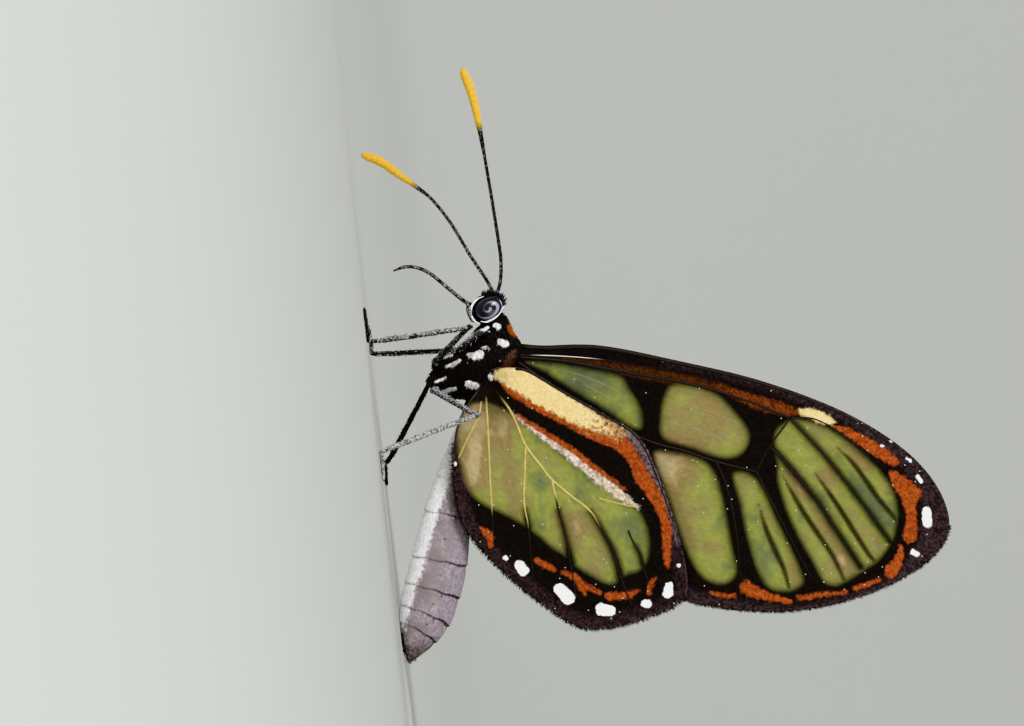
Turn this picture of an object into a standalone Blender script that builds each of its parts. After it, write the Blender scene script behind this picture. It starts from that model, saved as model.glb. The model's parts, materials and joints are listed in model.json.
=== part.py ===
"""A clearwing butterfly, Ithomia lagusa, life size, standing with its wings closed over its back.

Lengths here are in millimetres, and MM turns them to Blender's metres as meshes are made.
X runs from the head (-X) to the tip of the abdomen (+X), Z is up from the floor at 0, and the
butterfly's left side faces -Y. A place written with two numbers is (X, Z) in its middle plane.
"""

import math

import bmesh
import bpy
import numpy as np
from mathutils import Vector
from mathutils.geometry import delaunay_2d_cdt

MM = 0.001
GAP = 0.3
SHARP_ANGLE = math.radians(50)
SIDES = {"l": -1, "r": 1}

# Wings: a root, the angle of the long axis above the floor, and an outline in (along, towards the head)
WING_THICKNESS = 0.5
WING_FILL_STEP = 2.4
FILL_CLEARANCE = 0.55
VEIN_HALF_WIDTH = 0.32
VEIN_HEIGHT = 0.16
VEIN_HEIGHT_INSIDE = 0.08
VEIN_STEP = 1.3
FOREWING_ROOT = (0.0, 8.9)
FOREWING_ANGLE = math.radians(63.1)
FOREWING_OUTLINE = (
    (-1.0, -0.2), (-0.5, 0.6), (1.4, 1.2), (4.6, 2.4), (9.5, 3.2), (14.5, 3.8), (19.7, 3.8),
    (23.9, 3.0), (26.7, 1.6), (28.3, -0.3), (28.2, -2.2), (26.9, -4.3), (24.5, -6.6), (21.1, -8.7),
    (17.0, -10.0), (13.9, -10.1), (8.9, -7.4), (4.3, -3.9), (1.0, -1.6), (-0.4, -0.9),
)  # fmt: skip
FOREWING_CELL_TOP = (17.0, 2.3)
FOREWING_CELL_MIDDLE = (16.4, 0.2)
FOREWING_CELL_FOOT = (16.2, -1.5)
FOREWING_CUBITAL_FORK = (13.6, -1.8)
FOREWING_VEINS = {
    "subcosta": ((0.2, 0.3), (4.9, 1.7), (8.8, 2.4), (13.5, 3.1)),
    "radius": ((0.2, 0.0), (5.1, 1.0), (11.2, 2.0), FOREWING_CELL_TOP),
    "radial_branch": (FOREWING_CELL_TOP, (19.4, 2.8), (22.3, 2.1), (24.7, 0.5), (26.9, -0.7)),
    "cubitus": ((0.2, -0.3), (4.6, -1.3), (8.9, -2.0), FOREWING_CUBITAL_FORK, FOREWING_CELL_FOOT),
    "cell_end": (FOREWING_CELL_FOOT, FOREWING_CELL_MIDDLE, FOREWING_CELL_TOP),
    "median_1": (FOREWING_CELL_TOP, (20.2, 0.6), (23.6, -1.4), (26.9, -3.3)),
    "median_2": (FOREWING_CELL_MIDDLE, (18.9, -1.0), (22.3, -3.2), (25.5, -5.1)),
    "median_3": (FOREWING_CELL_FOOT, (18.4, -3.7), (20.7, -5.9), (22.7, -7.4)),
    "cubital": (FOREWING_CUBITAL_FORK, (15.3, -3.7), (16.9, -6.3), (18.3, -9.0)),
    "anal": ((0.4, -0.6), (5.8, -4.3), (10.8, -7.3), (14.7, -9.3)),
}  # fmt: skip
HINDWING_ROOT = (1.55, 7.5)
HINDWING_ANGLE = math.radians(35.1)
HINDWING_OUTLINE = (
    (-0.9, 0.2), (-0.35, 1.2), (0.8, 2.1), (3.3, 2.9), (5.7, 3.7), (8.3, 4.4), (11.4, 3.5), (14.9, 1.9),
    (17.0, 0.5), (17.3, -0.6), (16.9, -2.1), (15.7, -4.6), (14.2, -6.1), (11.1, -6.9), (7.8, -7.3),
    (5.0, -7.1), (2.7, -5.8), (0.8, -4.1), (-0.1, -2.6), (-0.5, -1.0),
)  # fmt: skip
HINDWING_CROSS_TOP = (11.3, 1.5)
HINDWING_CROSS_FOOT = (9.6, -0.8)
HINDWING_FIRST_FORK = (4.0, -1.2)
HINDWING_SECOND_FORK = (6.6, -1.3)
HINDWING_VEINS = {
    "costa": ((0.2, 0.8), (3.3, 2.4), (7.6, 3.5), (11.7, 2.7), (15.2, 1.0)),
    "radius": ((0.3, 0.0), (5.1, 0.7), (8.5, 0.9), HINDWING_CROSS_TOP, (14.7, 0.4)),
    "cross": (HINDWING_CROSS_FOOT, HINDWING_CROSS_TOP),
    "cubitus": ((0.2, -0.3), HINDWING_FIRST_FORK, HINDWING_SECOND_FORK, HINDWING_CROSS_FOOT,
                (13.7, -2.1), (16.0, -2.9)),
    "cubital_1": (HINDWING_SECOND_FORK, (8.4, -2.4), (11.0, -3.7), (13.6, -5.2)),
    "cubital_2": (HINDWING_FIRST_FORK, (6.4, -3.4), (8.7, -5.0), (10.8, -6.3)),
    "median": ((12.0, 0.1), (14.2, -0.6), (16.4, -1.3)),
    "anal_2": ((0.3, -1.1), (3.6, -3.8), (5.6, -5.4), (7.3, -6.6)),
    "anal_3": ((0.1, -1.5), (1.1, -3.3), (1.9, -4.7)),
}  # fmt: skip

# How far the wings stand from the middle plane: the forewings close up, the hindwings lie outside
SPREAD_AT_TIPS = 0.45
SPREAD_AT_ROOT = 0.4
SPREAD_LENGTH = 6.0
HINDWING_OUTSIDE = 1.0
HINDWING_TUCK = 0.8
HINDWING_TUCK_PLACE = (1.45, 7.1)
HINDWING_TUCK_RADIUS = 1.1
FOLD_ROUND_ABDOMEN = 0.35
FOLD_RADIUS = 1.8

# Thorax: rings from neck to waist, each (lowest point, highest point, half width)
THORAX_RINGS = (
    ((-2.05, 6.90), (-2.75, 8.30), 0.70),
    ((-1.75, 6.50), (-2.40, 8.70), 1.00),
    ((-1.30, 6.05), (-1.45, 9.00), 1.35),
    ((-0.68, 5.20), (-0.75, 9.32), 1.62),
    ((0.05, 3.95), (-0.10, 9.45), 1.80),
    ((0.75, 3.42), (0.50, 9.15), 1.80),
    ((1.45, 3.55), (1.25, 8.50), 1.60),
    ((1.98, 4.45), (1.90, 7.70), 1.20),
    ((2.25, 5.40), (2.20, 7.05), 0.75),
)
THORAX_WIDER_ABOVE = 0.1

# Head: an ellipsoid that faces forward and a little down, with a flat side under each eye
HEAD_PLACE = (-3.15, 7.5)
HEAD_FORWARD = Vector((-0.91, 0.0, -0.41)).normalized()
HEAD_HALF_SIZES = (0.80, 1.20, 1.04)
HEAD_FLAT_AT = 0.5
EYE_HALF_SIZES = (0.62, 0.52, 0.86)

# Abdomen: (place, half height, half width) along its middle line, sunk so that its low side is flat
ABDOMEN_STATIONS = (
    (2.70, 6.12, 0.66, 0.62), (4.80, 5.19, 0.86, 0.80), (6.90, 4.31, 1.11, 0.95), (9.20, 3.61, 1.49, 1.20),
    (12.0, 2.80, 1.76, 1.42), (13.7, 2.16, 1.77, 1.48), (15.1, 1.58, 1.66, 1.38), (16.3, 1.02, 1.22, 1.02),
    (17.3, 0.60, 0.62, 0.55), (17.80, 0.38, 0.16, 0.16),
)  # fmt: skip
ABDOMEN_SEGMENT_ENDS = (3.6, 5.2, 7.0, 9.1, 11.8, 13.6, 15.0, 16.1)
ABDOMEN_SEGMENT_RINGS = ((0.30, 0.0), (0.88, 0.0), (1.0, 0.05))

# Feelers: paths out of the head, (X, Y, Z), and radii at shares of the length, thicker in the club
ANTENNA_PATHS = {
    "l": ((-3.45, -0.30, 7.95), (-4.55, -0.55, 8.44), (-5.81, -0.80, 8.64), (-6.86, -1.00, 8.64),
          (-9.63, -1.60, 8.52), (-11.8, -2.05, 8.40), (-14.3, -2.55, 8.24), (-16.1, -2.85, 8.04),
          (-17.8, -3.10, 7.62)),
    "r": ((-3.45, 0.20, 8.10), (-4.64, 0.72, 7.72), (-6.45, 2.00, 6.81), (-8.59, 3.50, 5.83),
          (-10.1, 4.60, 4.89), (-10.9, 5.20, 4.12), (-11.8, 5.90, 3.12), (-12.8, 6.50, 2.01),
          (-13.3, 6.85, 0.95)),
}  # fmt: skip
ANTENNA_RADII = ((0.0, 0.25), (0.70, 0.25), (0.85, 0.33), (0.96, 0.33), (1.0, 0.12))
PALP_PATH = ((-2.90, 0.25, 7.00), (-2.72, 0.42, 6.50), (-2.98, 0.68, 6.22), (-3.75, 0.75, 6.10))
PALP_RADIUS = 0.26
PROBOSCIS_PATH = (
    (-3.30, 0.0, 6.95), (-3.56, 0.0, 6.30), (-4.47, 0.0, 5.36), (-5.50, 0.0, 4.37), (-6.02, 0.0, 3.57),
    (-6.17, 0.0, 2.79), (-6.01, 0.0, 2.03),
)  # fmt: skip
PROBOSCIS_RADIUS = 0.25

# Legs, (X, Y, Z) of hip, trochanter, knee, ankle and toe, with Y away from the middle plane
FORELEG_PATH = ((-1.45, 0.60, 7.30), (-1.62, 1.50, 6.90), (-1.18, 1.48, 6.15), (-0.55, 1.10, 4.95))
MID_HIP = (0.25, 0.45, 4.70)
HIND_HIP = (1.15, 0.45, 4.60)
LEG_PLACES = {
    "midleg_l": (MID_HIP, (-0.20, 1.15, 3.95), (-2.04, 3.90, 6.19), (-1.87, 4.55, 0.55), (-3.95, 6.95, 0.2)),
    "midleg_r": (MID_HIP, (-0.15, 1.15, 3.95), (-0.76, 4.10, 5.55), (-1.09, 4.75, 0.55), (-2.70, 6.95, 0.2)),
    "hindleg_l": (HIND_HIP, (1.48, 1.05, 3.65), (3.29, 4.00, 6.07), (4.73, 4.60, 0.55), (6.60, 6.75, 0.2)),
    "hindleg_r": (HIND_HIP, (1.20, 1.15, 3.65), (0.95, 4.20, 3.50), (5.30, 5.00, 0.55), (7.00, 6.90, 0.2)),
}
FEMUR_RADIUS = 0.30
TIBIA_RADIUS = 0.26
TARSUS_RADIUS = 0.25
CLAW_RADIUS = 0.12
FORELEG_RADIUS = 0.26
JOINT_OVERRUN = 0.3
SOLE_HEIGHT = 0.2

MATERIALS = {
    "black_scales": ("#17130F", 0.75),
    "lilac_scales": ("#948894", 0.80),
    "eye_facets": ("#2A2638", 0.25),
    "club_scales": ("#E8A020", 0.70),
    "clear_membrane": ("#80823E", 0.35),
    "leg_scales": ("#2B2726", 0.70),
}


def linear(channel):
    return channel / 12.92 if channel <= 0.04045 else ((channel + 0.055) / 1.055) ** 2.4


def material(name):
    colour, roughness = MATERIALS[name]
    made = bpy.data.materials.get(name) or bpy.data.materials.new(name)
    made.use_nodes = True
    shader = made.node_tree.nodes["Principled BSDF"]
    shader.inputs["Base Color"].default_value = (
        *(linear(int(colour[i : i + 2], 16) / 255) for i in (1, 3, 5)),
        1.0,
    )
    shader.inputs["Roughness"].default_value = roughness
    return made


def clear_scene():
    for obj in list(bpy.data.objects):
        bpy.data.objects.remove(obj, do_unlink=True)


def collection(name):
    made = bpy.data.collections.new(name)
    bpy.context.scene.collection.children.link(made)
    return made


def smooth_path(points, per_span, closed=False):
    """Points on a Catmull-Rom curve through the given ones, per_span to each stretch."""
    points = np.array(points, float)
    count = len(points)
    made = []
    for i in range(count if closed else count - 1):
        if closed:
            before, start, end, after = (points[(i + k) % count] for k in (-1, 0, 1, 2))
        else:
            start, end = points[i], points[i + 1]
            before = points[i - 1] if i else 2 * start - end
            after = points[i + 2] if i + 2 < count else 2 * end - start
        for u in np.arange(per_span) / per_span:
            made.append(
                0.5 * (2 * start + (end - before) * u + (2 * before - 5 * start + 4 * end - after) * u**2
                       + (3 * start - before - 3 * end + after) * u**3)
            )  # fmt: skip
    return made if closed else [*made, points[-1]]


def new_object(name, mesh, finish, group):
    obj = bpy.data.objects.new(name, mesh)
    obj.data.materials.append(material(finish))
    group.objects.link(obj)
    return obj


def finish_mesh(bm, name):
    """A triangulated mesh, in metres and facing out, from a bmesh in millimetres."""
    bmesh.ops.scale(bm, vec=(MM, MM, MM), verts=bm.verts)
    bmesh.ops.triangulate(bm, faces=bm.faces)
    bmesh.ops.recalc_face_normals(bm, faces=bm.faces)
    mesh = bpy.data.meshes.new(name)
    bm.to_mesh(mesh)
    bm.free()
    mesh.shade_smooth()
    mesh.set_sharp_from_angle(angle=SHARP_ANGLE)
    return mesh


def loft(rings):
    """A closed bmesh through rings of points, with a flat cap at each end."""
    bm = bmesh.new()
    loops = [[bm.verts.new(point) for point in ring] for ring in rings]
    for first, second in zip(loops, loops[1:]):
        for i in range(len(first)):
            j = (i + 1) % len(first)
            bm.faces.new((first[i], first[j], second[j], second[i]))
    bm.faces.new(loops[0])
    bm.faces.new(loops[-1])
    return bm


def trim(bm, place, outward):
    """Cuts away what lies outward of a plane and closes the cut."""
    cut = bmesh.ops.bisect_plane(
        bm, geom=[*bm.verts, *bm.edges, *bm.faces], plane_co=place, plane_no=outward, clear_outer=True
    )
    rim = [part for part in cut["geom_cut"] if isinstance(part, bmesh.types.BMEdge)]
    bmesh.ops.holes_fill(bm, edges=rim)


def tube(path, radii, bevel_resolution=2):
    """A closed bmesh round a path, from a bevelled curve with filled and welded caps."""
    curve = bpy.data.curves.new("path", "CURVE")
    curve.dimensions = "3D"
    curve.bevel_depth = 1.0
    curve.bevel_resolution = bevel_resolution
    curve.use_fill_caps = True
    spline = curve.splines.new("POLY")
    spline.points.add(len(path) - 1)
    for point, place, radius in zip(spline.points, path, radii):
        point.co = (*place, 1.0)
        point.radius = radius
    obj = bpy.data.objects.new("path", curve)
    bpy.context.scene.collection.objects.link(obj)
    bpy.context.view_layer.update()
    mesh = bpy.data.meshes.new_from_object(obj.evaluated_get(bpy.context.evaluated_depsgraph_get()))
    bm = bmesh.new()
    bm.from_mesh(mesh)
    bmesh.ops.remove_doubles(bm, verts=bm.verts, dist=1e-4)
    bpy.data.objects.remove(obj, do_unlink=True)
    bpy.data.curves.remove(curve)
    bpy.data.meshes.remove(mesh)
    return bm


def tapered(path, start, end, tip):
    """Radii along a path, from start to end, and then a smaller tip."""
    radii = np.linspace(start, end, len(path))
    radii[-1] = tip
    return radii


def ellipsoid(half_sizes, forward, place, segments=18, rings=12):
    """A closed bmesh of an ellipsoid whose first half size runs along forward, in the plane Y = 0."""
    bm = bmesh.new()
    bmesh.ops.create_uvsphere(bm, u_segments=segments, v_segments=rings, radius=1.0)
    bmesh.ops.scale(bm, vec=half_sizes, verts=bm.verts)
    turn = Vector((1.0, 0.0, 0.0)).rotation_difference(forward).to_matrix()
    bmesh.ops.rotate(bm, matrix=turn, verts=bm.verts)
    bmesh.ops.translate(bm, vec=place, verts=bm.verts)
    return bm


def subtract(obj, *cutters):
    for cutter in cutters:
        cut = obj.modifiers.new("clear_of_" + cutter.name, "BOOLEAN")
        cut.operation = "DIFFERENCE"
        cut.solver = "EXACT"
        cut.object = cutter


def thorax_bmesh(grow=0.0, sides=20):
    """The thorax as a loft of upright rings, wider above its middle, grown all round where asked."""
    stations = [(*low, *high, half) for low, high, half in THORAX_RINGS]
    rings = []
    for low_x, low_z, high_x, high_z, half_width in smooth_path(stations, 2):
        low, high = Vector((low_x, 0, low_z)), Vector((high_x, 0, high_z))
        middle, up = (low + high) / 2, (high - low) / 2
        ring = []
        for k in range(sides):
            angle = 2 * math.pi * k / sides
            across = half_width * math.cos(angle) * (1 + THORAX_WIDER_ABOVE * math.sin(angle))
            ring.append(middle + up * math.sin(angle) + Vector((0, across, 0)))
        rings.append(ring)
    bm = loft(rings)
    bmesh.ops.recalc_face_normals(bm, faces=bm.faces)
    shifts = [vert.normal * (grow * vert.calc_shell_factor()) for vert in bm.verts]
    for vert, shift in zip(bm.verts, shifts):
        vert.co += shift
    return bm


def neck_plane(offset=0.0):
    low, high = THORAX_RINGS[0][:2]
    middle = Vector(((low[0] + high[0]) / 2, 0.0, (low[1] + high[1]) / 2))
    across = Vector((high[0] - low[0], 0.0, high[1] - low[1]))
    normal = across.cross(Vector((0.0, -1.0, 0.0))).normalized()
    if normal.x > 0:
        normal.negate()
    return middle + normal * offset, normal


def head_bmesh(grow=0.0):
    half_sizes = [size + grow for size in HEAD_HALF_SIZES]
    place = (HEAD_PLACE[0], 0.0, HEAD_PLACE[1])
    bm = ellipsoid(half_sizes, HEAD_FORWARD, place, 20, 14)
    behind, normal = neck_plane(GAP - grow)
    trim(bm, behind, -normal)
    for side in SIDES.values():
        trim(bm, (0.0, side * (HEAD_FLAT_AT + grow), 0.0), (0.0, side, 0.0))
    return bm


def eye_bmesh(side):
    """Half an ellipsoid whose flat lies a gap outside the flat side of the head."""
    level = side * (HEAD_FLAT_AT + GAP)
    bm = ellipsoid(EYE_HALF_SIZES, HEAD_FORWARD, (HEAD_PLACE[0], level, HEAD_PLACE[1]), 20, 14)
    trim(bm, (0.0, level, 0.0), (0.0, -side, 0.0))
    return bm


def abdomen_ring(x, pinch=0.0, sides=18):
    stations = np.array(ABDOMEN_STATIONS)
    fine = np.array(smooth_path(stations, 8))
    z, half_height, half_width = (np.interp(x, fine[:, 0], fine[:, k]) for k in (1, 2, 3))
    slope = np.interp(x + 0.2, fine[:, 0], fine[:, 1]) - np.interp(x - 0.2, fine[:, 0], fine[:, 1])
    up = Vector((-slope, 0.0, 0.4)).normalized()
    shrink = 1 - pinch
    ring = []
    for k in range(sides):
        angle = 2 * math.pi * k / sides
        across = half_width * shrink * math.cos(angle)
        ring.append(Vector((x, across, z)) + up * (half_height * shrink * math.sin(angle)))
    return ring


def abdomen_bmesh():
    """The abdomen as a loft of rings, pinched between segments and flat where it rests on the floor."""
    start, end = ABDOMEN_STATIONS[0][0], ABDOMEN_STATIONS[-1][0]
    joints = [start, *ABDOMEN_SEGMENT_ENDS, end]
    rings = [abdomen_ring(start)]
    for first, last in zip(joints, joints[1:]):
        for share, pinch in ABDOMEN_SEGMENT_RINGS:
            rings.append(abdomen_ring(first + share * (last - first), pinch))
    bm = loft(rings)
    trim(bm, (0.0, 0.0, 0.0), (0.0, 0.0, -1.0))
    return bm


def wing_spread(x, z):
    """How far the middle of a forewing stands from the plane Y = 0, over a place in that plane."""
    from_root = math.hypot(x - FOREWING_ROOT[0], z - FOREWING_ROOT[1])
    return SPREAD_AT_TIPS + SPREAD_AT_ROOT * math.exp(-from_root / SPREAD_LENGTH)


def hindwing_spread(x, z):
    """The same for a hindwing: outside the forewing, tucked in at its root, folded round the abdomen."""
    (x0, z0), (x1, z1) = ABDOMEN_STATIONS[0][:2], ABDOMEN_STATIONS[-1][:2]
    from_axis = ((x - x0) * (z1 - z0) - (z - z0) * (x1 - x0)) / math.hypot(x1 - x0, z1 - z0)
    fold = FOLD_ROUND_ABDOMEN * math.exp(-((from_axis / FOLD_RADIUS) ** 2))
    from_tuck = math.hypot(x - HINDWING_TUCK_PLACE[0], z - HINDWING_TUCK_PLACE[1])
    tuck = HINDWING_TUCK * math.exp(-((from_tuck / HINDWING_TUCK_RADIUS) ** 2))
    return wing_spread(x, z) + HINDWING_OUTSIDE + fold - tuck


def inside(point, outline):
    """Whether a point lies within a closed outline."""
    crossings = 0
    for (ax, ay), (bx, by) in zip(outline, [*outline[1:], outline[0]]):
        if (ay > point[1]) != (by > point[1]):
            crossings += point[0] < ax + (point[1] - ay) * (bx - ax) / (by - ay)
    return crossings % 2 == 1


def fill_points(outline, taken, step):
    """A staggered grid of points inside an outline, clear of the points that are there already."""
    low, high = np.min(outline, axis=0), np.max(outline, axis=0)
    taken = np.array(taken)
    made = []
    for row, y in enumerate(np.arange(low[1], high[1], step * math.sin(math.radians(60)))):
        for x in np.arange(low[0] + (row % 2) * step / 2, high[0], step):
            if np.hypot(*(taken - (x, y)).T).min() > step * FILL_CLEARANCE and inside((x, y), outline):
                made.append((x, y))
    return made


def even_points(path, step):
    """Points at even steps along a smooth path, its ends included."""
    fine = np.array(smooth_path(path, 12))
    along = np.concatenate([[0.0], np.cumsum(np.hypot(*np.diff(fine, axis=0).T))])
    stops = np.linspace(0.0, along[-1], max(2, round(along[-1] / step) + 1))
    return np.column_stack([np.interp(stops, along, fine[:, k]) for k in (0, 1)])


def distance_to_lines(point, lines):
    """The least distance from a point to any of some lines, each given as an array of points."""
    least = math.inf
    for line in lines:
        starts, spans = line[:-1], np.diff(line, axis=0)
        share = np.clip(((point - starts) * spans).sum(axis=1) / (spans**2).sum(axis=1), 0.0, 1.0)
        nearest = starts + spans * share[:, None]
        least = min(least, np.hypot(*(nearest - point).T).min())
    return least


def vein_points(lines, outline):
    """Points along the veins' crests and both their flanks, and the edges that join them in rows."""
    points, edges = [], []

    def add_row(row):
        edges.extend((len(points) + i, len(points) + i + 1) for i in range(len(row) - 1))
        points.extend(tuple(point) for point in row)

    for line in lines:
        add_row(line)
    clear = 0.95 * VEIN_HALF_WIDTH
    rim = np.array([*outline, outline[0]])
    flanks = []
    for line in lines:
        spans = np.gradient(line, axis=0)
        outward = np.column_stack([-spans[:, 1], spans[:, 0]]) / np.hypot(*spans.T)[:, None]
        for shift in (-VEIN_HALF_WIDTH, VEIN_HALF_WIDTH):
            row = []
            for point in line + shift * outward:
                from_others = min((math.dist(point, other) for other in flanks), default=math.inf)
                from_lines = distance_to_lines(point, [*lines, rim])
                if min(from_others, from_lines) > clear and inside(point, outline):
                    row.append(point)
                    flanks.append(point)
                else:
                    add_row(row)
                    row = []
            add_row(row)
    return points, edges


def wing_bmesh(outline, veins, root, angle, spread, side):
    """A thin plate with ridges for veins and triangles alike on both faces, spread(x, z) from Y = 0."""
    rim = [tuple(point) for point in smooth_path(outline, 3, closed=True)]
    lines = [even_points(path, VEIN_STEP) for path in veins.values()]
    vein_rows, vein_edges = vein_points(lines, rim)
    flat = rim + vein_rows
    flat += fill_points(rim, flat, WING_FILL_STEP)
    edges = [(i, (i + 1) % len(rim)) for i in range(len(rim))]
    edges += [(len(rim) + a, len(rim) + b) for a, b in vein_edges]
    points, _, faces = delaunay_2d_cdt([Vector(point) for point in flat], edges, [], 1, 1e-4)[:3]
    raised = [max(0.0, 1 - distance_to_lines(np.array(point), lines) / VEIN_HALF_WIDTH) for point in points]
    along, across = (math.cos(angle), math.sin(angle)), (-math.sin(angle), math.cos(angle))
    bm = bmesh.new()
    layers = []
    for direction, vein_height in ((1, VEIN_HEIGHT), (-1, VEIN_HEIGHT_INSIDE)):
        layer = []
        for (s, t), height in zip(points, raised):
            x = root[0] + s * along[0] + t * across[0]
            z = root[1] + s * along[1] + t * across[1]
            out = spread(x, z) + direction * (WING_THICKNESS / 2 + vein_height * height)
            layer.append(bm.verts.new((x, side * out, z)))
        layers.append(layer)
    outer, inner = layers
    for a, b, c in faces:
        bm.faces.new((outer[a], outer[b], outer[c]))
        bm.faces.new((inner[c], inner[b], inner[a]))
    edges = [edge for edge in bm.edges if edge.is_boundary]
    bmesh.ops.bridge_loops(bm, edges=edges)
    return bm


def leg_bmeshes(places, side):
    """Femur, tibia and tarsus of one leg, mitred at knee and ankle with a gap between them."""
    hip, trochanter, knee, ankle, toe = (Vector((x, side * y, z)) for x, y, z in places)
    to_knee = (knee - trochanter).normalized()
    femur_path = [hip, trochanter, trochanter.lerp(knee, 0.35), knee + to_knee * JOINT_OVERRUN]
    femur = tube(femur_path, [FEMUR_RADIUS, FEMUR_RADIUS, FEMUR_RADIUS, TIBIA_RADIUS])
    shin = (ankle - knee).normalized()
    tibia_path = [knee - shin * JOINT_OVERRUN, ankle + shin * JOINT_OVERRUN]
    tibia = tube(tibia_path, [TIBIA_RADIUS, TARSUS_RADIUS])
    heel = ankle.lerp(toe, 0.12)
    heel.z = SOLE_HEIGHT
    out = (heel - ankle).normalized()
    tarsus_path = [ankle - out * JOINT_OVERRUN, heel, heel.lerp(toe, 0.85), toe]
    tarsus = tube(tarsus_path, [TARSUS_RADIUS, TARSUS_RADIUS, TARSUS_RADIUS, CLAW_RADIUS])
    for place, first, second, before, after in (
        (knee, femur, tibia, -to_knee, shin),
        (ankle, tibia, tarsus, -shin, out),
    ):
        normal = (before - after).normalized()
        trim(first, place + normal * GAP / 2, -normal)
        trim(second, place - normal * GAP / 2, normal)
    trim(tarsus, (0.0, 0.0, 0.0), (0.0, 0.0, -1.0))
    return {"femur": femur, "tibia": tibia, "tarsus": tarsus}


def mirrored(path, side):
    return [Vector((x, side * y, z)) for x, y, z in path]


def build():
    clear_scene()
    body = collection("ithomia_lagusa")
    cutters = collection("cutters")

    def piece(name, bm, finish):
        return new_object(name, finish_mesh(bm, name), finish, body)

    def cutter(name, bm):
        obj = new_object(name, finish_mesh(bm, name), "black_scales", cutters)
        obj.hide_render = True
        obj.display_type = "WIRE"
        return obj

    round_thorax = cutter("round_thorax", thorax_bmesh(GAP))
    round_head = cutter("round_head", head_bmesh(GAP))

    piece("thorax", thorax_bmesh(), "black_scales")
    piece("head", head_bmesh(), "black_scales")
    piece("abdomen", abdomen_bmesh(), "lilac_scales")
    proboscis_path = smooth_path(PROBOSCIS_PATH, 3)
    radii = tapered(proboscis_path, PROBOSCIS_RADIUS, PROBOSCIS_RADIUS * 0.8, PROBOSCIS_RADIUS * 0.4)
    subtract(piece("proboscis", tube(proboscis_path, radii), "black_scales"), round_head)

    for letter, side in SIDES.items():
        subtract(piece("eye_" + letter, eye_bmesh(side), "eye_facets"), round_thorax)
        antenna_path = smooth_path(ANTENNA_PATHS[letter], 3)
        radii = np.interp(np.linspace(0.0, 1.0, len(antenna_path)), *zip(*ANTENNA_RADII))
        antenna = piece("antenna_" + letter, tube(antenna_path, radii), "club_scales")
        palp_path = smooth_path(mirrored(PALP_PATH, side), 3)
        radii = tapered(palp_path, PALP_RADIUS, PALP_RADIUS * 0.8, PALP_RADIUS * 0.4)
        palp = piece("palp_" + letter, tube(palp_path, radii), "black_scales")
        subtract(antenna, round_head)
        subtract(palp, round_head)
        foreleg_path = smooth_path(mirrored(FORELEG_PATH, side), 3)
        radii = tapered(foreleg_path, FORELEG_RADIUS, FORELEG_RADIUS * 0.9, FORELEG_RADIUS * 0.5)
        subtract(piece("foreleg_" + letter, tube(foreleg_path, radii), "leg_scales"), round_thorax)
        for wing, outline, veins, root, angle, spread in (
            ("forewing_", FOREWING_OUTLINE, FOREWING_VEINS, FOREWING_ROOT, FOREWING_ANGLE, wing_spread),
            ("hindwing_", HINDWING_OUTLINE, HINDWING_VEINS, HINDWING_ROOT, HINDWING_ANGLE, hindwing_spread),
        ):
            plate = wing_bmesh(outline, veins, root, angle, spread, side)
            subtract(piece(wing + letter, plate, "clear_membrane"), round_thorax)

    for leg, places in LEG_PLACES.items():
        pair, letter = leg.split("_")
        for part, bm in leg_bmeshes(places, SIDES[letter]).items():
            obj = piece(f"{pair}_{part}_{letter}", bm, "leg_scales")
            if part == "femur":
                subtract(obj, round_thorax)


build()
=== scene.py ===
"""The looks of a clearwing butterfly, Ithomia lagusa, life size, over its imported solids.

Lengths are in millimetres and MM turns them to metres as meshes are made. X runs from the head
(-X) to the tip of the abdomen (+X), Z is up from the floor, and the left side faces -Y.
On a wing, a place is (along, ahead): along its long axis from the root, and towards the head.
"""

import json
import math

import bpy
import numpy as np
from mathutils import Matrix, Vector

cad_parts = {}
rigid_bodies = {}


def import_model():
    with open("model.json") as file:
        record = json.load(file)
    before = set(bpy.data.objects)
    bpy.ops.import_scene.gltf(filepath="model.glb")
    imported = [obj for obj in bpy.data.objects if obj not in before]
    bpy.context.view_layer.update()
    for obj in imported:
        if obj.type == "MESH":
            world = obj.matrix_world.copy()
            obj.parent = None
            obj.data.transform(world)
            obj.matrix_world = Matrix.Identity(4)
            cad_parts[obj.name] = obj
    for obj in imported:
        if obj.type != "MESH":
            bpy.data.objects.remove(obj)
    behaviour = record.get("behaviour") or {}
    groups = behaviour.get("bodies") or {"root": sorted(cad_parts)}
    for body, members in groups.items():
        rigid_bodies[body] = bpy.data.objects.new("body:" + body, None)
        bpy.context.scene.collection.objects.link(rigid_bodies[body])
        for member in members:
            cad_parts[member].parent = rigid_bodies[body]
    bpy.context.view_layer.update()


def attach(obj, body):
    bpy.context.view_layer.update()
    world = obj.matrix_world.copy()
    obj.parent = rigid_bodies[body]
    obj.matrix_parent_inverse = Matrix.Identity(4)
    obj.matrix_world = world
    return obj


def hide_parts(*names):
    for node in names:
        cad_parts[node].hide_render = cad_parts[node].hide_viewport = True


MM = 0.001
SIDES = {"l": -1, "r": 1}  # the sign of Y on each side
rng = np.random.default_rng(7)

# A marking is a depth inside an outline or a line, measured up to REACH away from it
REACH = 1.5
MARK_CURVE_STEPS = 5
SPOT_GROWTH = 0.02

# Camera: level with the body and turned on its side, so that the head points up in the picture
PICTURE_WIDTH = 62.46
PICTURE_CENTRE = (0.39, 8.61)
PICTURE_TURN = math.radians(6.5)
CAMERA_DISTANCE = 800.0
SENSOR = 36.0

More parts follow.
